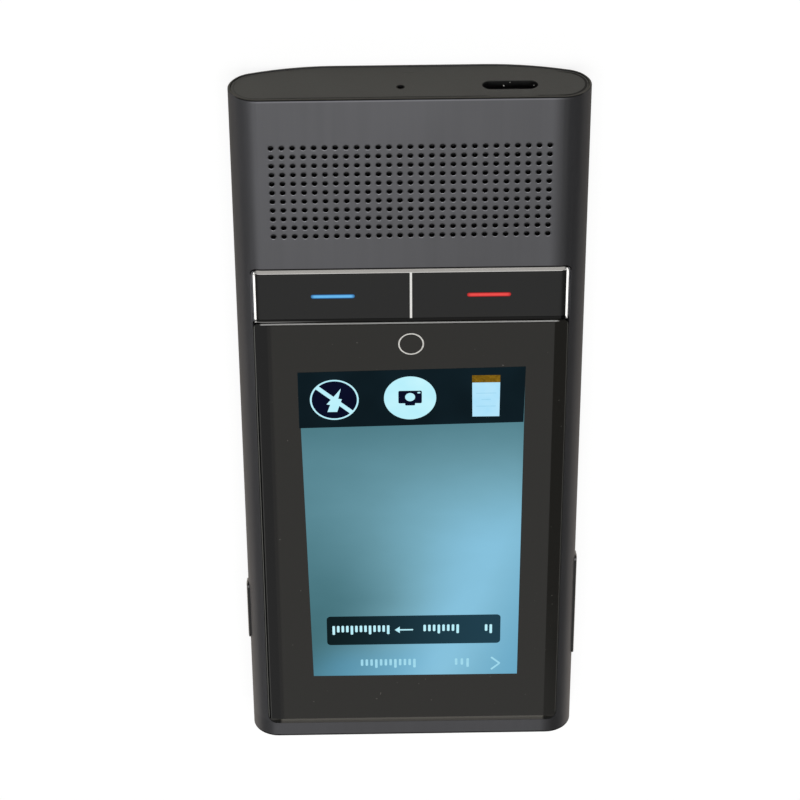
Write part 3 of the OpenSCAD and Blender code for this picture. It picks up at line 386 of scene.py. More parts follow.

# %% Ends and sides
# Round each cap runs a flat rim, painted lighter to stand in for light on it, with a broken edge
# in painted shade, and behind the near one a painted highlight. The far edge gets a line of
# painted shade, the lip past the glass is painted a little darker as shade, and the right side
# gets painted shade where it turns away from the lamps.
from_near, from_far = along_y + END_Y, END_Y - along_y
from_end = END_Y - abs(along_y)
end_face = sleeve.span(from_end, 0.08, 0.03)
broken_edge_shade = sleeve.span(from_end, 0.20, 0.16) * sleeve.span(up, 9.6, 10.4)
near_shine = sleeve.band(from_near, 0.20, 0.23, 0.44, 0.48) \
    * sleeve.span(abs(across), 26.5, 24.0)
far_line_shade = sleeve.span(from_far, 0.52, 0.44)
far_lip_shade = sleeve.span(from_far, 4.1, 3.1)
turned_away = sleeve.span(across, -22.6, -25.0) * sleeve.span(across, -28.9, -25.4, 0.35, 1.0) \
    * sleeve.span(up, 1.5, 4.0)
print("the ends are at", round(END_Y, 2), "mm from the middle")

# %% The sleeve's finish
# Painted shade and painted highlights are laid over the metal here, and the rim's end face is
# painted lighter.
shade = hole_wall_shade.high(near_edge_shade * 0.95).high(broken_edge_shade * 0.8).high(far_lip_shade * 0.16)
shade = shade.high(turned_away * 0.56).high(far_line_shade * 0.85)
shine = (side_edge_highlight * 0.25).high(lit_rim * 0.25).high(near_shine * 0.3)
metal_with_highlights = sleeve.mix(shine, metal_colour, shown(156, 156, 162))
metal_with_shade = sleeve.mix(shade, metal_with_highlights, shown(20, 19, 18))
sleeve.feed(
    Base_Color=sleeve.mix(end_face * 0.8, metal_with_shade, shown(104, 103, 97)),
    Roughness=sleeve.span(grain * 0.6 + streaks * 0.4, 0.3, 0.7, 0.40, 0.48))
sleeve.bump(grain * 0.004 - hole_rim * 0.04, 1.0)
print("sleeve graph has", len(sleeve.graph.nodes), "nodes")

# %% [markdown]
# ## End caps, keys and rubber
# Moulded plastics show a faint spark-eroded grain that they take from their mould. One helper
# makes them all: a base colour that drifts slightly, and a grain with its own size and depth.
# The keys and the glass are glossier than the caps.

# %% Moulded plastics
def moulded(name, colour, drift, roughness, grain_size, grain_depth, gloss=0.5):
    finish = Finish(name, Specular_IOR_Level=gloss)
    speck = finish.noise(grain_size, detail=2.0)
    broad = finish.noise(14.0, detail=1.0)
    darker = tuple(channel * (1 - drift) for channel in colour[:3]) + (1.0,)
    finish.feed(
        Base_Color=finish.mix(finish.span(broad * 0.6 + speck * 0.4, 0.3, 0.7),
                              darker, colour),
        Roughness=finish.span(speck, 0.3, 0.7, roughness - 0.05, roughness + 0.05))
    return finish.bump(speck, grain_depth)


cap = moulded("dark_cap", shown(80, 80, 76), 0.10, 0.55, 0.10, 0.006)
moulded("key_black", shown(20, 20, 19), 0.08, 0.20, 0.20, 0.0005, gloss=0.3)
moulded("black_rubber", shown(30, 30, 30), 0.15, 0.75, 0.25, 0.010)
moulded("black_plastic", shown(28, 28, 29), 0.10, 0.45, 0.12, 0.006)
moulded("white_plastic", shown(226, 226, 222), 0.05, 0.45, 0.15, 0.004)
print("finishes so far:", sorted(finishes))

# %% [markdown]
# ### What the caps show
# The caps are matt and a little warm. A fine groove runs round each just inside its outline, so
# the finish needs the distance to that outline. Mirrored about the middle, the outline is two
# arcs, the side's and the back's. Each gives a distance by itself, and the line through their
# centres says which of the two counts. The slot's walls get painted shade, and so does a ring
# round the microphone hole.

# %% Grooves and holes of the caps
BACK_R = ((SIDE_X - BACK_X) ** 2 + SIDE_Z ** 2 - SIDE_R ** 2) / (2 * (SIDE_Z - SIDE_R))
GROOVE_DEPTH = 0.92                        # from the cap's outline to its groove
MIC_SHADE_R = 0.72                              # radius of the painted shade round the microphone hole

across, along_y, up = cap.axes()
beyond = abs(across) - SIDE_X
side_depth = SIDE_R - (beyond.high(0.0) ** 2.0 + (up - SIDE_Z) ** 2.0) ** 0.5
back_depth = BACK_R - ((abs(across) - BACK_X) ** 2.0 + (up - BACK_R) ** 2.0) ** 0.5
turn_x, turn_z = SIDE_X - BACK_X, BACK_R - SIDE_Z
past_line = ((up - SIDE_Z) * turn_x + beyond * turn_z) / math.hypot(turn_x, turn_z)
at_side = cap.span(past_line, -0.1, 0.1).high(cap.span(up - SIDE_Z, -0.1, 0.1))
depth = back_depth + (side_depth - back_depth) * at_side

right_end = cap.span(across, -23.0, -25.0)
clear_of_port = cap.span(abs(across - PORT_X), 3.4, 4.6).high(cap.span(up, 8.6, 8.0))
groove = cap.span(abs(depth - GROOVE_DEPTH) - right_end * 0.07, 0.16, 0.09) \
    * clear_of_port * cap.span(up, 2.0, 3.5) \
    * (cap.span(across, 24.0, 20.0, 0.3, 0.78) + right_end * 0.22)
# Painted shade on the slot's walls, and in a ring round the microphone hole.
slot_wall_shade = cap.span(CAP_Y - abs(along_y), 0.13, 0.21) * cap.span(depth, 1.1, 1.3)
from_mic = ((across - MIC_X) ** 2.0 + (up - MIC_Z) ** 2.0) ** 0.5
mic_ring_shade = cap.span(from_mic, MIC_SHADE_R + 0.04, MIC_SHADE_R - 0.04)
cap.darken(groove.high(slot_wall_shade).high(mic_ring_shade))
print("the back is an arc of radius", round(BACK_R, 2), "mm")

# %% [markdown]
# ## Cover glass
# The glass is clear, but all that shows of it outside the picture is black ink printed on its
# back. Seen from above that is a dark warm grey under gloss, and faint smears from fingers change
# its roughness a little. A few specks of dust lie on it, as the photograph shows. Its near and
# side ground edges get painted highlights, its far edge is lighter than the ink, and along its
# sides run strips of painted shade. All of them are written as distances from the edges of the
# glass.

# %% Printed glass: its edges
FAR_FADE = (24.3, 23.8)                    # the light far edge fades out between these

glass = Finish("cover_glass", Specular_IOR_Level=0.25)
across, along_y, _ = glass.axes()
from_left, from_right = glass_high.x - across, glass_high.x + across
far_edge = glass.span(glass_high.y - along_y, 0.82, 0.78)
far_ground = far_edge * glass.span(abs(across), *FAR_FADE)
# Painted highlights on the near and side ground edges, and painted shade in strips along the
# sides.
near_ground_and_highlight = glass.band(along_y - glass_low.y, 0.06, 0.10, 0.23, 0.27) \
    * glass.band(across, -25.0, -24.3, 24.9, 25.5)
side_ground_highlight = (glass.span(from_left, 0.16, 0.12) * 0.8).high(
    glass.span(from_right, 0.16, 0.12) * 0.3)
left_shade_strip = (glass.span(from_left, 2.27, 2.23) * 0.97).high(
    glass.span(from_left, 3.1, 2.6) * 0.6)
right_shade_strip = glass.span(from_right, 2.5, 2.1) * 0.30
shade_strips = left_shade_strip.high(right_shade_strip) * (1 - far_edge)

# Beside the picture, a dark line of painted shade and a faint painted highlight run along the
# left edge.
past_keys = glass.span(along_y, -12.0, -6.0) * (1 - far_edge)
side_gap_shade = glass.band(from_left, 0.14, 0.18, 0.36, 0.40) * past_keys
side_glint = glass.band(from_left, 0.40, 0.44, 0.56, 0.62) * past_keys
print("the glass is", round(2 * glass_high.x, 2), "mm wide")

# %% Printed glass: its finish
smear = glass.noise(22.0, stretch=(1, 0.5, 1), detail=4.0)
dust = glass.span(glass.noise(0.5, detail=0.0), 0.86, 0.90)
ink = glass.mix(dust, shown(34, 33, 30), shown(80, 78, 74))
# Over the printed ink go painted shade, painted highlights and the lighter far edge; the dust is
# real.
for mask, colour in (
        (shade_strips, shown(4, 4, 4)), (side_ground_highlight.high(side_glint * 0.16), shown(120, 120, 116)),
        (side_gap_shade, shown(2, 2, 2)), (far_ground, shown(90, 88, 83)),
        (near_ground_and_highlight, shown(172, 172, 170))):
    ink = glass.mix(mask, ink, colour)
glass.feed(
    Base_Color=ink, Metallic=side_gap_shade,
    Roughness=glass.span(smear, 0.35, 0.7, 0.06, 0.14).high(near_ground_and_highlight.high(far_ground) * 0.4))
print("glass graph has", len(glass.graph.nodes), "nodes")

# %% [markdown]
# ## Bright metals
# The frame round the keys is diamond-cut and polished, so it is nearly a mirror with fine
# cutting lines. Its far bar and its walls get painted shade, but for a thin painted highlight on
# the bar's edge. Springs, tins and gold contacts are the same finish in other colours, with
# coarser brushing.

# %% Metals
def metal(name, colour, roughness, line_size, line_depth, along=(1, 0.05, 1)):
    finish = Finish(name, Metallic=1.0)
    lines = finish.noise(line_size, stretch=along, detail=3.0)
    duller = tuple(channel * 0.86 for channel in colour[:3]) + (1.0,)
    finish.feed(
        Base_Color=finish.mix(lines, duller, colour),
        Roughness=finish.span(lines, 0.3, 0.7, roughness * 0.8, roughness * 1.3))
    return finish.bump(lines, line_depth)


trim_metal = metal("polished_trim", shown(250, 248, 244), 0.10, 0.25, 0.0002,
                   along=(0.04, 1, 1))
metal("chassis_alloy", shown(150, 151, 155), 0.42, 0.30, 0.004, along=(1, 1, 1))
metal("spring_steel", shown(205, 205, 200), 0.28, 0.15, 0.001)
metal("tin_plate", shown(196, 196, 198), 0.35, 0.30, 0.001)
metal("gold_plate", shown(232, 190, 108), 0.25, 0.15, 0.001)
print("metals:", [name for name, made in finishes.items()
                  if made.shader.inputs["Metallic"].default_value == 1.0])

# %% Painted shade on the frame, with a painted highlight
across, along_y, up = trim_metal.axes()
frame_wall_shade = trim_metal.span(up, TOP - 0.38, TOP - 0.44) * trim_metal.span(abs(across), 25.0, 24.5)
from_far = FRAME_FAR - along_y
far_bar_shade = trim_metal.span(from_far, FRAME_BAR + 0.07, FRAME_BAR + 0.01) \
    * trim_metal.span(abs(across), FRAME_X - 0.4, FRAME_X - 0.5)
far_glint = trim_metal.span(from_far, 0.17, 0.12) * trim_metal.span(across, 12.0, 24.0)
trim_metal.darken(frame_wall_shade.high(far_bar_shade * (0.985 - far_glint * 0.25)))
print("the far bar is black from", round(FRAME_FAR - FRAME_BAR, 2), "to", round(FRAME_FAR, 2))

# %% [markdown]
# ## Light bars
# Each key has a clear bar with a lamp under it. The bar glows most at its middle and is deeper
# in colour at its rim, so brightness falls off towards its ends and its sides.

# %% Glowing bars
BAR_X, BAR_Y = 3.9, 0.42                   # half the bar's length and width


def middle_of(node):
    """X and Y of the middle of a node's box, in mm."""
    low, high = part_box(node)
    return [(low[axis] + high[axis]) / 2 / MM for axis in range(2)]


def glowing(name, rim, core, node):
    finish = Finish(name, Emission_Strength=1.0, Roughness=0.25, Specular_IOR_Level=0.15)
    across, along_y, _ = finish.axes()
    middle_x, middle_y = middle_of(node)
    from_tip = 1 - abs(across - middle_x) / BAR_X
    from_side = 1 - abs(along_y - middle_y) / BAR_Y
    heat = finish.span(from_tip, 0.0, 0.25) * finish.span(from_side, 0.0, 0.7)
    cloudy = finish.noise(0.6, detail=2.0)
    dim = tuple(channel * 0.4 for channel in rim[:3]) + (1.0,)
    finish.feed(Emission_Color=finish.mix(heat * (0.85 + 0.15 * cloudy), rim, core),
                Base_Color=finish.mix(cloudy, dim, rim))
    print(name, "glows round", round(middle_x, 2), round(middle_y, 2))


glowing("light_blue", shown(6, 52, 98), shown(104, 184, 234), "blue_light_bar")
glowing("light_red", shown(116, 4, 10), shown(227, 76, 72), "red_light_bar")

# %% [markdown]
# ## What lies inside
# Most of the inside is hidden, but the loudspeaker's cloth shows through the grille, and the
# socket's tongue through its slot. Boards, cables and foil get the finish that they really have.

# %% Loudspeaker cloth
WEAVE = 14.0                               # radians of the weave in a millimetre

cloth = Finish("mesh_cloth", Roughness=0.8)
across, along_y, _ = cloth.axes()
thread = ((across * WEAVE).sine() * (along_y * WEAVE).sine() + 1) * 0.5
cloth.feed(Base_Color=cloth.mix(thread, shown(6, 6, 6), shown(22, 22, 23)))
cloth.bump(thread, 0.02)
print("threads are", round(2 * math.pi / WEAVE, 2), "mm apart")

# %% Circuit board and flat cable
board = Finish("circuit_board")
across, along_y, _ = board.axes()
wobble = board.noise(3.0, detail=0.0)
track = board.span(abs(((across + wobble * 3.0) * 2.6).sine()), 0.90, 0.96) \
    * board.span(abs(((along_y - wobble * 2.0) * 0.5).sine()), 0.25, 0.35)
board.feed(
    Base_Color=board.mix(track, shown(20, 74, 48), shown(52, 120, 78)),
    Roughness=board.span(track, 0, 1, 0.42, 0.30))
board.bump(track, 0.02)

cable = Finish("flat_cable", Roughness=0.35)
across, _, _ = cable.axes()
strand = cable.span((across * 9.0).sine(), -0.2, 0.4)
cable.feed(Base_Color=cable.mix(strand, shown(166, 92, 30), shown(206, 130, 52)))
cable.bump(strand, 0.01)
print("board graph has", len(board.graph.nodes), "nodes")

# %% Battery foil and glue
foil = Finish("pouch_foil", Metallic=0.9)
crease = foil.noise(5.0, detail=6.0)
foil.feed(Base_Color=foil.mix(crease, shown(150, 152, 156), shown(200, 202, 206)),
          Roughness=foil.span(crease, 0.3, 0.7, 0.28, 0.42))
foil.bump(crease, 0.05)

glue = Finish("adhesive", Roughness=0.6)
felt = glue.noise(0.4, detail=3.0)
glue.feed(Base_Color=glue.mix(felt, shown(18, 18, 19), shown(34, 34, 36)))
glue.bump(felt, 0.01)
print("finishes so far:", len(finishes))

# %% Camera lens, flash lens and display
CELLS = 40.0                               # radians of the display's grid in a millimetre

lens = Finish("lens_glass", Coat_Weight=1.0, Coat_Roughness=0.02)
tint = lens.noise(4.0, detail=1.0)
lens.feed(Base_Color=lens.mix(tint, shown(8, 9, 16), shown(18, 22, 34)),
          Roughness=lens.span(tint, 0.3, 0.7, 0.05, 0.09))

clear = Finish("clear_plastic", Roughness=0.2, Coat_Weight=0.6)
across, along_y, _ = clear.axes()
flash_x, flash_y = middle_of("flash_lens")
from_flash = ((across - flash_x) ** 2.0 + (along_y - flash_y) ** 2.0) ** 0.5
ridges = clear.span((from_flash * 12.0).sine(), -1, 1)
clear.feed(Base_Color=clear.mix(ridges, shown(214, 206, 170), shown(246, 242, 224)))
clear.bump(ridges, 0.05)

panel = Finish("display", Roughness=0.15)
across, along_y, _ = panel.axes()
cell = panel.span((across * CELLS).sine() * (along_y * CELLS).sine(), -1, 1)
panel.feed(Base_Color=panel.mix(cell, shown(16, 22, 28), shown(30, 40, 48)))
print("finishes made:", len(finishes))

# %% Put each finish on its nodes
bare = []
for name, node in nodes.items():
    slot = node.data.materials[0].name.split(".")[0] if node.data.materials else None
    if slot in finishes:
        node.data.materials[0] = finishes[slot].material
    else:
        bare.append((name, slot))
print("nodes without a finish:", bare)

# %% [markdown]
# ## The bright frame
# The real frame is stamped steel whose top is diamond-cut: a narrow flat by the keys, then a
# chamfer that turns round the near corners. In CAD it is mitred there, so this piece is made
# again with operators. A rectangle gets two round corners, two insets make the chamfer and the
# flat, and both borders are drawn down into walls. Last, every level is set from the height of
# the sleeve there. The far bar is flat on top, and the other chamfers are gentle, so that they
# catch the light.

# %% Sizes and helpers for the frame
CORNER = 0.8                               # radius of the near corners
FLAT = 0.08                                # width of the flat beside the keys
NARROWER = 0.15                            # each side bar is this much narrower
FRAME_OUT = FRAME_X - NARROWER
DIVIDER = 0.38                             # width of the bar between the keys
WALL = 1.75                                # the walls reach this far down
OUTER = -0.5                               # marks the outer edge until its height is known
NEAR_DROP, SIDE_DROP, FAR_DROP = 0.30, 0.14, 0.02    # from the sleeve down to the outer edge
middle_y = (FRAME_NEAR + FRAME_FAR) / 2


def clamped(value, most=1.0):
    return min(max(value, 0.0), most)


def top_height(x):
    """Height of the sleeve's outside at a distance from its middle, in mm."""
    past = clamped(abs(x) - SIDE_X, SIDE_R)
    return SIDE_Z + math.sqrt(SIDE_R ** 2 - past ** 2)


def drawn_down(shape, edges, depth):
    made = bmesh.ops.extrude_edge_only(shape, edges=edges)["geom"]
    for vert in (part for part in made if isinstance(part, bmesh.types.BMVert)):
        vert.co.z = depth


def edge_drop(y):
    """How far the chamfer's outer edge lies below the sleeve's outside."""
    if y > FRAME_FAR - 0.3:
        return FAR_DROP
    return NEAR_DROP + (SIDE_DROP - NEAR_DROP) * clamped((y - FRAME_NEAR) / CORNER)


print("the sleeve is", round(top_height(FRAME_OUT), 2), "mm high beside the frame")

# %% Plate with two round corners, cut into chamfer and flat
trim = bmesh.new()
bmesh.ops.create_grid(trim, x_segments=1, y_segments=1, size=1.0)
bmesh.ops.scale(trim, verts=trim.verts, vec=(FRAME_X, (FRAME_FAR - FRAME_NEAR) / 2, 1))
bmesh.ops.translate(trim, verts=trim.verts, vec=(0, middle_y, 0))
near_corners = [vert for vert in trim.verts if vert.co.y < middle_y]
bmesh.ops.bevel(trim, geom=near_corners, offset=CORNER, affect="VERTICES", segments=10,
                profile=0.5, material=-1)
outside = list(trim.verts)
ring = bmesh.ops.inset_region(trim, faces=list(trim.faces), thickness=FRAME_BAR - FLAT,
                              use_boundary=True, use_even_offset=True)["faces"]
for vert in outside:
    vert.co = Vector((vert.co.x * FRAME_OUT / FRAME_X, vert.co.y, OUTER))
window = [face for face in trim.faces if face not in set(ring)]
flat = bmesh.ops.inset_region(trim, faces=window, thickness=FLAT, use_even_offset=True)["faces"]
window = [face for face in trim.faces if face not in set(ring) | set(flat)]
print("chamfer of", len(ring), "faces, flat of", len(flat))

# %% Walls and divider
inner_edges = [edge for face in window for edge in face.edges]
outer_edges = [edge for edge in trim.edges if edge.is_boundary]
bmesh.ops.delete(trim, geom=window, context="FACES_ONLY")
drawn_down(trim, outer_edges, -WALL)
drawn_down(trim, inner_edges, -WALL)
bar_size = (DIVIDER, FRAME_FAR - FRAME_NEAR - 2 * FRAME_BAR, WALL, 1)
bmesh.ops.create_cube(trim, size=1.0, matrix=Matrix.Translation((0, middle_y, -WALL / 2))
                      @ Matrix.Diagonal(bar_size))
print("frame has", len(trim.verts), "corners before it is bent")

# %% Bend it to the sleeve
# A long straight bar can't bend, so it is cut where the sleeve curves down.
cuts = [(Vector((x, 0, 0)), Vector((1, 0, 0))) for x in (-25.6, -25.1, -24.6, 24.6, 25.1, 25.6)]
cuts.append((Vector((0, FRAME_FAR - FRAME_BAR, 0)), Vector((0, 1, 0))))
for place, across_cut in cuts:
    bmesh.ops.bisect_plane(trim, geom=trim.verts[:] + trim.edges[:] + trim.faces[:],
                           plane_co=place, plane_no=across_cut)
for vert in trim.verts:
    x, y, level = vert.co
    if abs(level - OUTER) < 0.1:
        beside_flat = clamped((abs(x) - FRAME_OUT + CORNER) / CORNER)
        inward = (FRAME_BAR - FLAT - NARROWER) * beside_flat
        vert.co.z = top_height(abs(x) - inward) - edge_drop(y)
    else:
        vert.co.z = top_height(x) + level
bmesh.ops.recalc_face_normals(trim, faces=trim.faces)
bright_frame = as_piece("bright_frame", trim, trim_metal)
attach(bright_frame, "body")
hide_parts("key_trim_frame")

# %% [markdown]
# ## The seal round the glass
# A bead of dark sealant closes the gap between glass and sleeve, so no black slot shows there. It
# is the border that an inset leaves, without the near end, where the frame stands. Its inner edge
# follows the ground edge of the glass and its outer edge the sleeve.

# %% Seal
GLASS_R = 1.5                              # far corners of the glass
OUT_DROP, IN_DROP = 0.05, 0.26             # below the sleeve's outside, at each edge of the bead
GLASS_DROP = 0.42                          # below the glass, at its far end
FAR_BEND = glass_high.y - 1.0              # where the bead turns round the far corners
BEAD_NEAR = glass_low.y + 0.9              # where it starts

seal = bmesh.new()
half_length = (glass_high.y - glass_low.y) / 2 + GAP
bmesh.ops.create_grid(seal, x_segments=1, y_segments=1, size=1.0)
bmesh.ops.scale(seal, verts=seal.verts, vec=(WINDOW_X, half_length, 1))
bmesh.ops.translate(seal, verts=seal.verts, vec=(0, (glass_low.y + glass_high.y) / 2, 0))
far_corners = [vert for vert in seal.verts if vert.co.y > 0]
bmesh.ops.bevel(seal, geom=far_corners, offset=GLASS_R + GAP, affect="VERTICES", segments=12,
                profile=0.5, material=-1)
sleeve_side = list(seal.verts)
border = bmesh.ops.inset_region(seal, faces=list(seal.faces), thickness=GAP,
                                use_boundary=True, use_even_offset=True)["faces"]
for vert in sleeve_side:
    vert.co.z = 1.0
middle_face = [face for face in seal.faces if face not in set(border)]
bmesh.ops.delete(seal, geom=middle_face, context="FACES_ONLY")
bmesh.ops.bisect_plane(seal, geom=seal.verts[:] + seal.edges[:] + seal.faces[:],
                       plane_co=(0, BEAD_NEAR, 0), plane_no=(0, 1, 0), clear_inner=True)
for vert in seal.verts:
    on_sleeve = vert.co.z > 0.5
    vert.co.z = top_height(vert.co.x) - (OUT_DROP if on_sleeve else IN_DROP)
    if vert.co.y > FAR_BEND and not on_sleeve:
        vert.co.z = min(vert.co.z, glass_high.z - GLASS_DROP)
bmesh.ops.recalc_face_normals(seal, faces=seal.faces)
print("the bead starts at", round(BEAD_NEAR, 2), "mm and is", GAP, "mm wide")

# %% Sealant
sealant = Finish("sealant", Roughness=0.6)
across, along_y, _ = sealant.axes()
at_far_end = sealant.span(along_y, FAR_BEND, FAR_BEND + 0.6) \
    * sealant.span(abs(across), *FAR_FADE)
sealant.feed(Base_Color=sealant.mix(at_far_end, shown(34, 34, 33), shown(100, 98, 94)))
sealant.bump(sealant.noise(0.3), 0.004)
bead = as_piece("glass_seal", seal, sealant)
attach(bead, "body")

# %% [markdown]
# ## Latch tips in the socket
# A socket of this kind holds its plug with small sprung tips. Three of them catch the light in
# the dark slot. They are balls a quarter of a millimetre across or less, just behind the cap's
# face.

# %% Latch tips
BEHIND_FACE = 0.15                         # from the cap's face to the middle of a tip
tips = bmesh.new()
for x, z, radius in ((-15.07, 6.98, 0.12), (-16.13, 5.85, 0.07), (-19.93, 6.94, 0.08)):
    bmesh.ops.create_icosphere(tips, subdivisions=2, radius=radius,
                               matrix=Matrix.Translation((x, BEHIND_FACE - CAP_Y, z)))
tip_metal = Finish("tip_metal", Roughness=0.5, Metallic=0.2)
tip_metal.feed(Base_Color=tip_metal.mix(tip_metal.noise(0.1), shown(190, 190, 186),
                                        shown(225, 225, 220)))
latch_tips = as_piece("latch_tips", tips, tip_metal)
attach(latch_tips, "body")

# %% [markdown]
# ## The lit picture and the marks on the glass
# The screen shows a camera's picture: a dark bar with three buttons, a soft blue view, and a
# label. Lines of text are rows of plain strokes, as in a designer's sketch. Each mark is its own
# flat shape, and the shapes lie about a hundredth of a millimetre apart, like layers of ink, so
# an edge stays sharp at any distance. A flat shape starts as a circle or a polygon of a few
# vertices, and a bevel of its corners rounds it.

# %% Helpers for flat shapes
INK = 0.012                                # from one layer of ink to the next, in mm
STROKE, STROKE_PITCH = 0.46, 0.8           # width of a stroke, and about how far they stand apart
LOW_STROKE, TALL_STROKE = 1.5, 2.05


class Marks:
    """Flat shapes that share a finish and become one piece. All sizes are in millimetres."""

    def __init__(self, layer):
        self.shape = bmesh.new()
        self.height = glass_high.z + layer * INK

    def at(self, x, y, turn=0.0):
        return Matrix.Translation((x, y, self.height)) @ Matrix.Rotation(
            math.radians(turn), 4, "Z")

    def disc(self, x, y, radius):
        bmesh.ops.create_circle(self.shape, cap_ends=True, radius=radius, segments=64,
                                matrix=self.at(x, y))

    def polygon(self, points, x=0.0, y=0.0, turn=0.0):
        corners = [self.shape.verts.new(self.at(x, y, turn) @ Vector((px, py, 0)))
                   for px, py in points]
        return self.shape.faces.new(corners)

    def bar(self, x, y, width, height, radius=0.0, turn=0.0):
        w, h = width / 2, height / 2
        face = self.polygon([(-w, -h), (w, -h), (w, h), (-w, h)], x, y, turn)
        if radius:
            bmesh.ops.bevel(self.shape, geom=list(face.verts), offset=radius,
                            affect="VERTICES", segments=6, profile=0.5, material=-1)

    def strokes(self, x_from, x_to, y):
        """A row of upright strokes from x_from to x_to. Every fourth one is tall."""
        count = max(2, round((x_to - x_from) / STROKE_PITCH))
        pitch = (x_to - x_from - STROKE) / (count - 1)
        for place in range(count):
            height = LOW_STROKE if place % 4 else TALL_STROKE
            self.bar(x_from + STROKE / 2 + place * pitch, y + (height - LOW_STROKE) / 2,
                     STROKE, height, radius=0.18)

    def ring(self, x, y, radius, line):
        inner = bmesh.ops.create_circle(self.shape, cap_ends=False, radius=radius - line / 2,
                                        segments=96, matrix=self.at(x, y))["verts"]
        edges = [edge for edge in self.shape.edges if edge.verts[0] in inner]
        made = bmesh.ops.extrude_edge_only(self.shape, edges=edges)["geom"]
        outer = [part for part in made if isinstance(part, bmesh.types.BMVert)]
        growth = (radius + line / 2) / (radius - line / 2)
        bmesh.ops.scale(self.shape, verts=outer, vec=(growth, growth, 1),
                        space=self.at(x, y).inverted())

    def finish(self, name, finish):
        bmesh.ops.recalc_face_normals(self.shape, faces=self.shape.faces)
        upside_down = [face for face in self.shape.faces if face.normal.z < 0]
        bmesh.ops.reverse_faces(self.shape, faces=upside_down)
        piece = as_piece(name, self.shape, finish)
        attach(piece, "body")
        "cover_glass" if name == "home_ring" else "display"


print("layers of ink start", round(glass_high.z + INK, 3), "mm up")

# %% [markdown]
# ### Ink that glows
# A lit screen is light behind glass. Each mark is black underneath, so the room hardly shows in
# it, and gives off its own colour. A weak gloss keeps the glass in front of it believable.

# %% Glowing inks
LIT = {"Emission_Strength": 1.0, "Roughness": 0.12, "Specular_IOR_Level": 0.01,
       "Base_Color": (0.0005, 0.0005, 0.0005, 1)}


def lit_ink(name, colour, second, size=3.0):
    """An ink that drifts between two colours, in patches of about size millimetres."""
    finish = Finish(name, **LIT)
    return finish.feed(Emission_Color=finish.mix(finish.noise(size, detail=1.0), colour, second))


print("lit ink is black underneath:", LIT["Base_Color"][:3])

# %% [markdown]
# ### The soft blue view
# The view is out of focus, so it needs no shapes, only light that changes slowly. It is brightest
# along a slanting ridge and falls off to both sides of it. A colour ramp then turns the amount of
# light into the greens and blues of the photograph.

# %% The view in the picture
view = Finish("picture_view", **LIT)
across, along_y, _ = view.axes()
ridge = (along_y * 0.36 - 24.1).high(-18.0)
to_left = (across - ridge).high(0.0) / (54.0 - along_y * 0.76).high(27.5).low(42.0)
to_right = (ridge - across).high(0.0)
brightest = view.span(along_y, -15.0, 25.0, 0.1, 1.0)
darkest = view.span(along_y, -8.0, 5.0, 0.1, 0.31).low(view.span(along_y, 8.0, 46.0, 0.33, 0.07))
light = darkest + (brightest - darkest) * view.span(to_left, 1.0, 0.02) - to_right * 0.017
light = light + (view.noise(7.0, stretch=(1, 1.6, 1)) - 0.5) * 0.06
sky = view.add("ValToRGB", {"stops": [
    (0.0, shown(60, 103, 111)), (0.12, shown(72, 117, 127)), (0.3, shown(86, 132, 144)),
    (0.5, shown(101, 149, 163)), (0.75, shown(118, 171, 190)), (1.0, shown(134, 193, 220)),
]}, {"Fac": light}, out="Color")
right_side = view.span(to_right, 0.0, 16.0) * view.span(along_y, 5.0, 30.0)
lower_left = view.span(along_y, 43.0, 51.0) * view.span(to_left, 1.05, 0.6) \
    * view.span(to_left, 0.0, 0.35)
bluer = right_side.high(lower_left * 0.7)
view.feed(Emission_Color=view.mix(bluer * 0.5, sky, shown(92, 166, 206)))

# The lit area's corners in mm. The photograph's picture leans a little off the panel's square.
picture = Marks(1)
picture.polygon([(19.15, -14.25), (-19.35, -14.85), (-19.05, 52.7), (17.87, 52.6)])
picture.finish("picture_view", view)

# %% Inks of the symbols
white_ink = lit_ink("picture_white", shown(176, 236, 250), shown(200, 246, 254))
pale_ink = lit_ink("picture_pale", shown(146, 206, 228), shown(172, 226, 242), 1.0)
night_ink = lit_ink("picture_night", shown(5, 8, 32), shown(9, 14, 40))
dark_ink = lit_ink("picture_dark", shown(7, 19, 24), shown(16, 33, 41), 8.0)
label_ink = Finish("picture_label", **LIT)
across, _, _ = label_ink.axes()
label_ink.feed(Emission_Color=label_ink.mix(
    label_ink.span(across, 17.0, -15.0), shown(12, 27, 30), shown(31, 62, 76)))
print("finishes made:", len(finishes))

# %% The dark bar and the label
dark = Marks(2)
dark.polygon([(19.25, -14.3), (-19.4, -14.95), (-19.2, -3.45), (19.2, -2.75)])
dark.finish("picture_dark_bar", dark_ink)
label = Marks(2)
label.bar(-0.3, 42.1, 31.2, 6.6, radius=0.7)
label.finish("picture_label", label_ink)

# %% The flash button and the shutter button
FLASH, FLASH_R = (13.1, -8.6), 4.0
SHUTTER, SHUTTER_R = (0.2, -8.8), 4.45
shutter_x, shutter_y = SHUTTER

night = Marks(3)
night.disc(*FLASH, FLASH_R)
night.finish("flash_button_ground", night_ink)

symbols = Marks(4)
symbols.ring(*FLASH, FLASH_R, 0.3)
symbols.polygon([(-1.14, -2.33), (-0.17, -1.02), (1.36, 0.92), (0.72, 1.02), (1.22, 2.5),
                 (-0.45, 2.5), (-1.28, -0.13), (-0.67, -0.23)], *FLASH)
symbols.bar(*FLASH, 8.2, 0.78, turn=-41.5)
symbols.disc(*SHUTTER, SHUTTER_R)
symbols.finish("picture_symbols", white_ink)

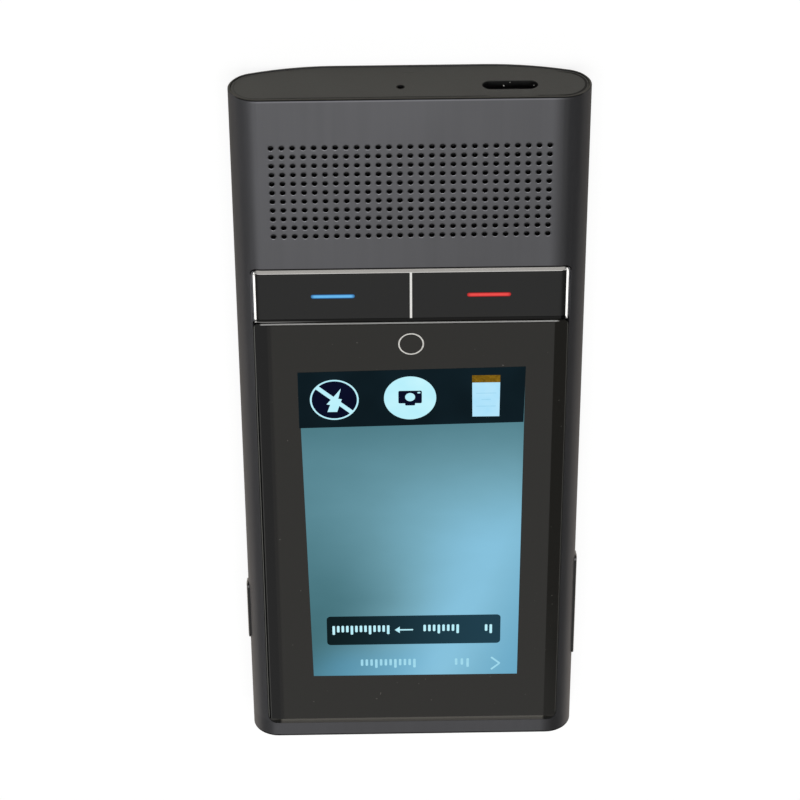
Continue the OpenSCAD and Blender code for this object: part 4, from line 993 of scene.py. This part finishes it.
camera_mark = Marks(5)
camera_mark.bar(shutter_x, shutter_y - 0.2, 4.0, 2.6, radius=0.25)
camera_mark.bar(shutter_x, shutter_y + 1.2, 1.7, 0.7, radius=0.2)
camera_mark.finish("camera_mark", night_ink)
camera_eye = Marks(6)
camera_eye.disc(shutter_x, shutter_y - 0.2, 0.85)
camera_eye.bar(shutter_x - 1.5, shutter_y - 1.1, 0.5, 0.3, radius=0.1)
camera_eye.finish("camera_mark_eye", white_ink)

# %% The thumbnail
card = Marks(3)
card.polygon([(-15.1, -11.8), (-10.35, -11.8), (-10.45, -4.75), (-15.05, -4.75)])
card.finish("thumbnail", lit_ink("picture_card", shown(164, 222, 250), shown(188, 232, 252), 2))
strip = Marks(3)
strip.polygon([(-15.1, -13.3), (-10.3, -13.3), (-10.35, -11.8), (-15.1, -11.8)])
strip.finish("thumbnail_strip", lit_ink("picture_brown", shown(70, 50, 8),
                                        shown(150, 114, 26), 0.4))
lines = Marks(4)
for y, width in [(-9.6, 3.4), (-8.3, 1.6), (-6.9, 3.4)]:
    lines.bar(-12.75, y, width, 0.12)
lines.finish("thumbnail_lines", lit_ink("picture_line", shown(146, 204, 232),
                                        shown(160, 216, 240), 1.0))

# %% Rows of strokes, the arrow between them, and the sign for back
words = Marks(4)
words.strokes(4.05, 14.3, 41.7)
words.strokes(-8.45, -2.05, 41.7)
words.strokes(-14.4, -13.1, 41.8)
words.bar(1.25, 42.05, 2.9, 0.3, radius=0.1)
words.polygon([(0, 0), (-0.9, 0.75), (-0.9, -0.75)], 3.1, 42.05)
words.finish("label_words", white_ink)

title = Marks(3)
title.strokes(-0.65, 9.3, 49.6)
title.strokes(-10.3, -7.75, 49.65)
title.bar(-15.1, 50.85, 2.15, 0.36, radius=0.1, turn=43)
title.bar(-15.1, 49.45, 2.15, 0.36, radius=0.1, turn=-43)
title.finish("title_words", pale_ink)

# %% [markdown]
# ### The home ring
# Between the keys and the picture, a thin silver ring is printed on the glass. It isn't lit, so
# it is a plain pale ink with a little shine.

# %% Home ring
silver_ink = Finish("silver_ink", Roughness=0.35, Metallic=0.3)
flake = silver_ink.noise(0.15, detail=1.0)
silver_ink.feed(Base_Color=silver_ink.mix(flake, shown(190, 188, 182), shown(226, 224, 218)))
home = Marks(1)
home.ring(0, -19.84, radius=2.05, line=0.24)
home.finish("home_ring", silver_ink)
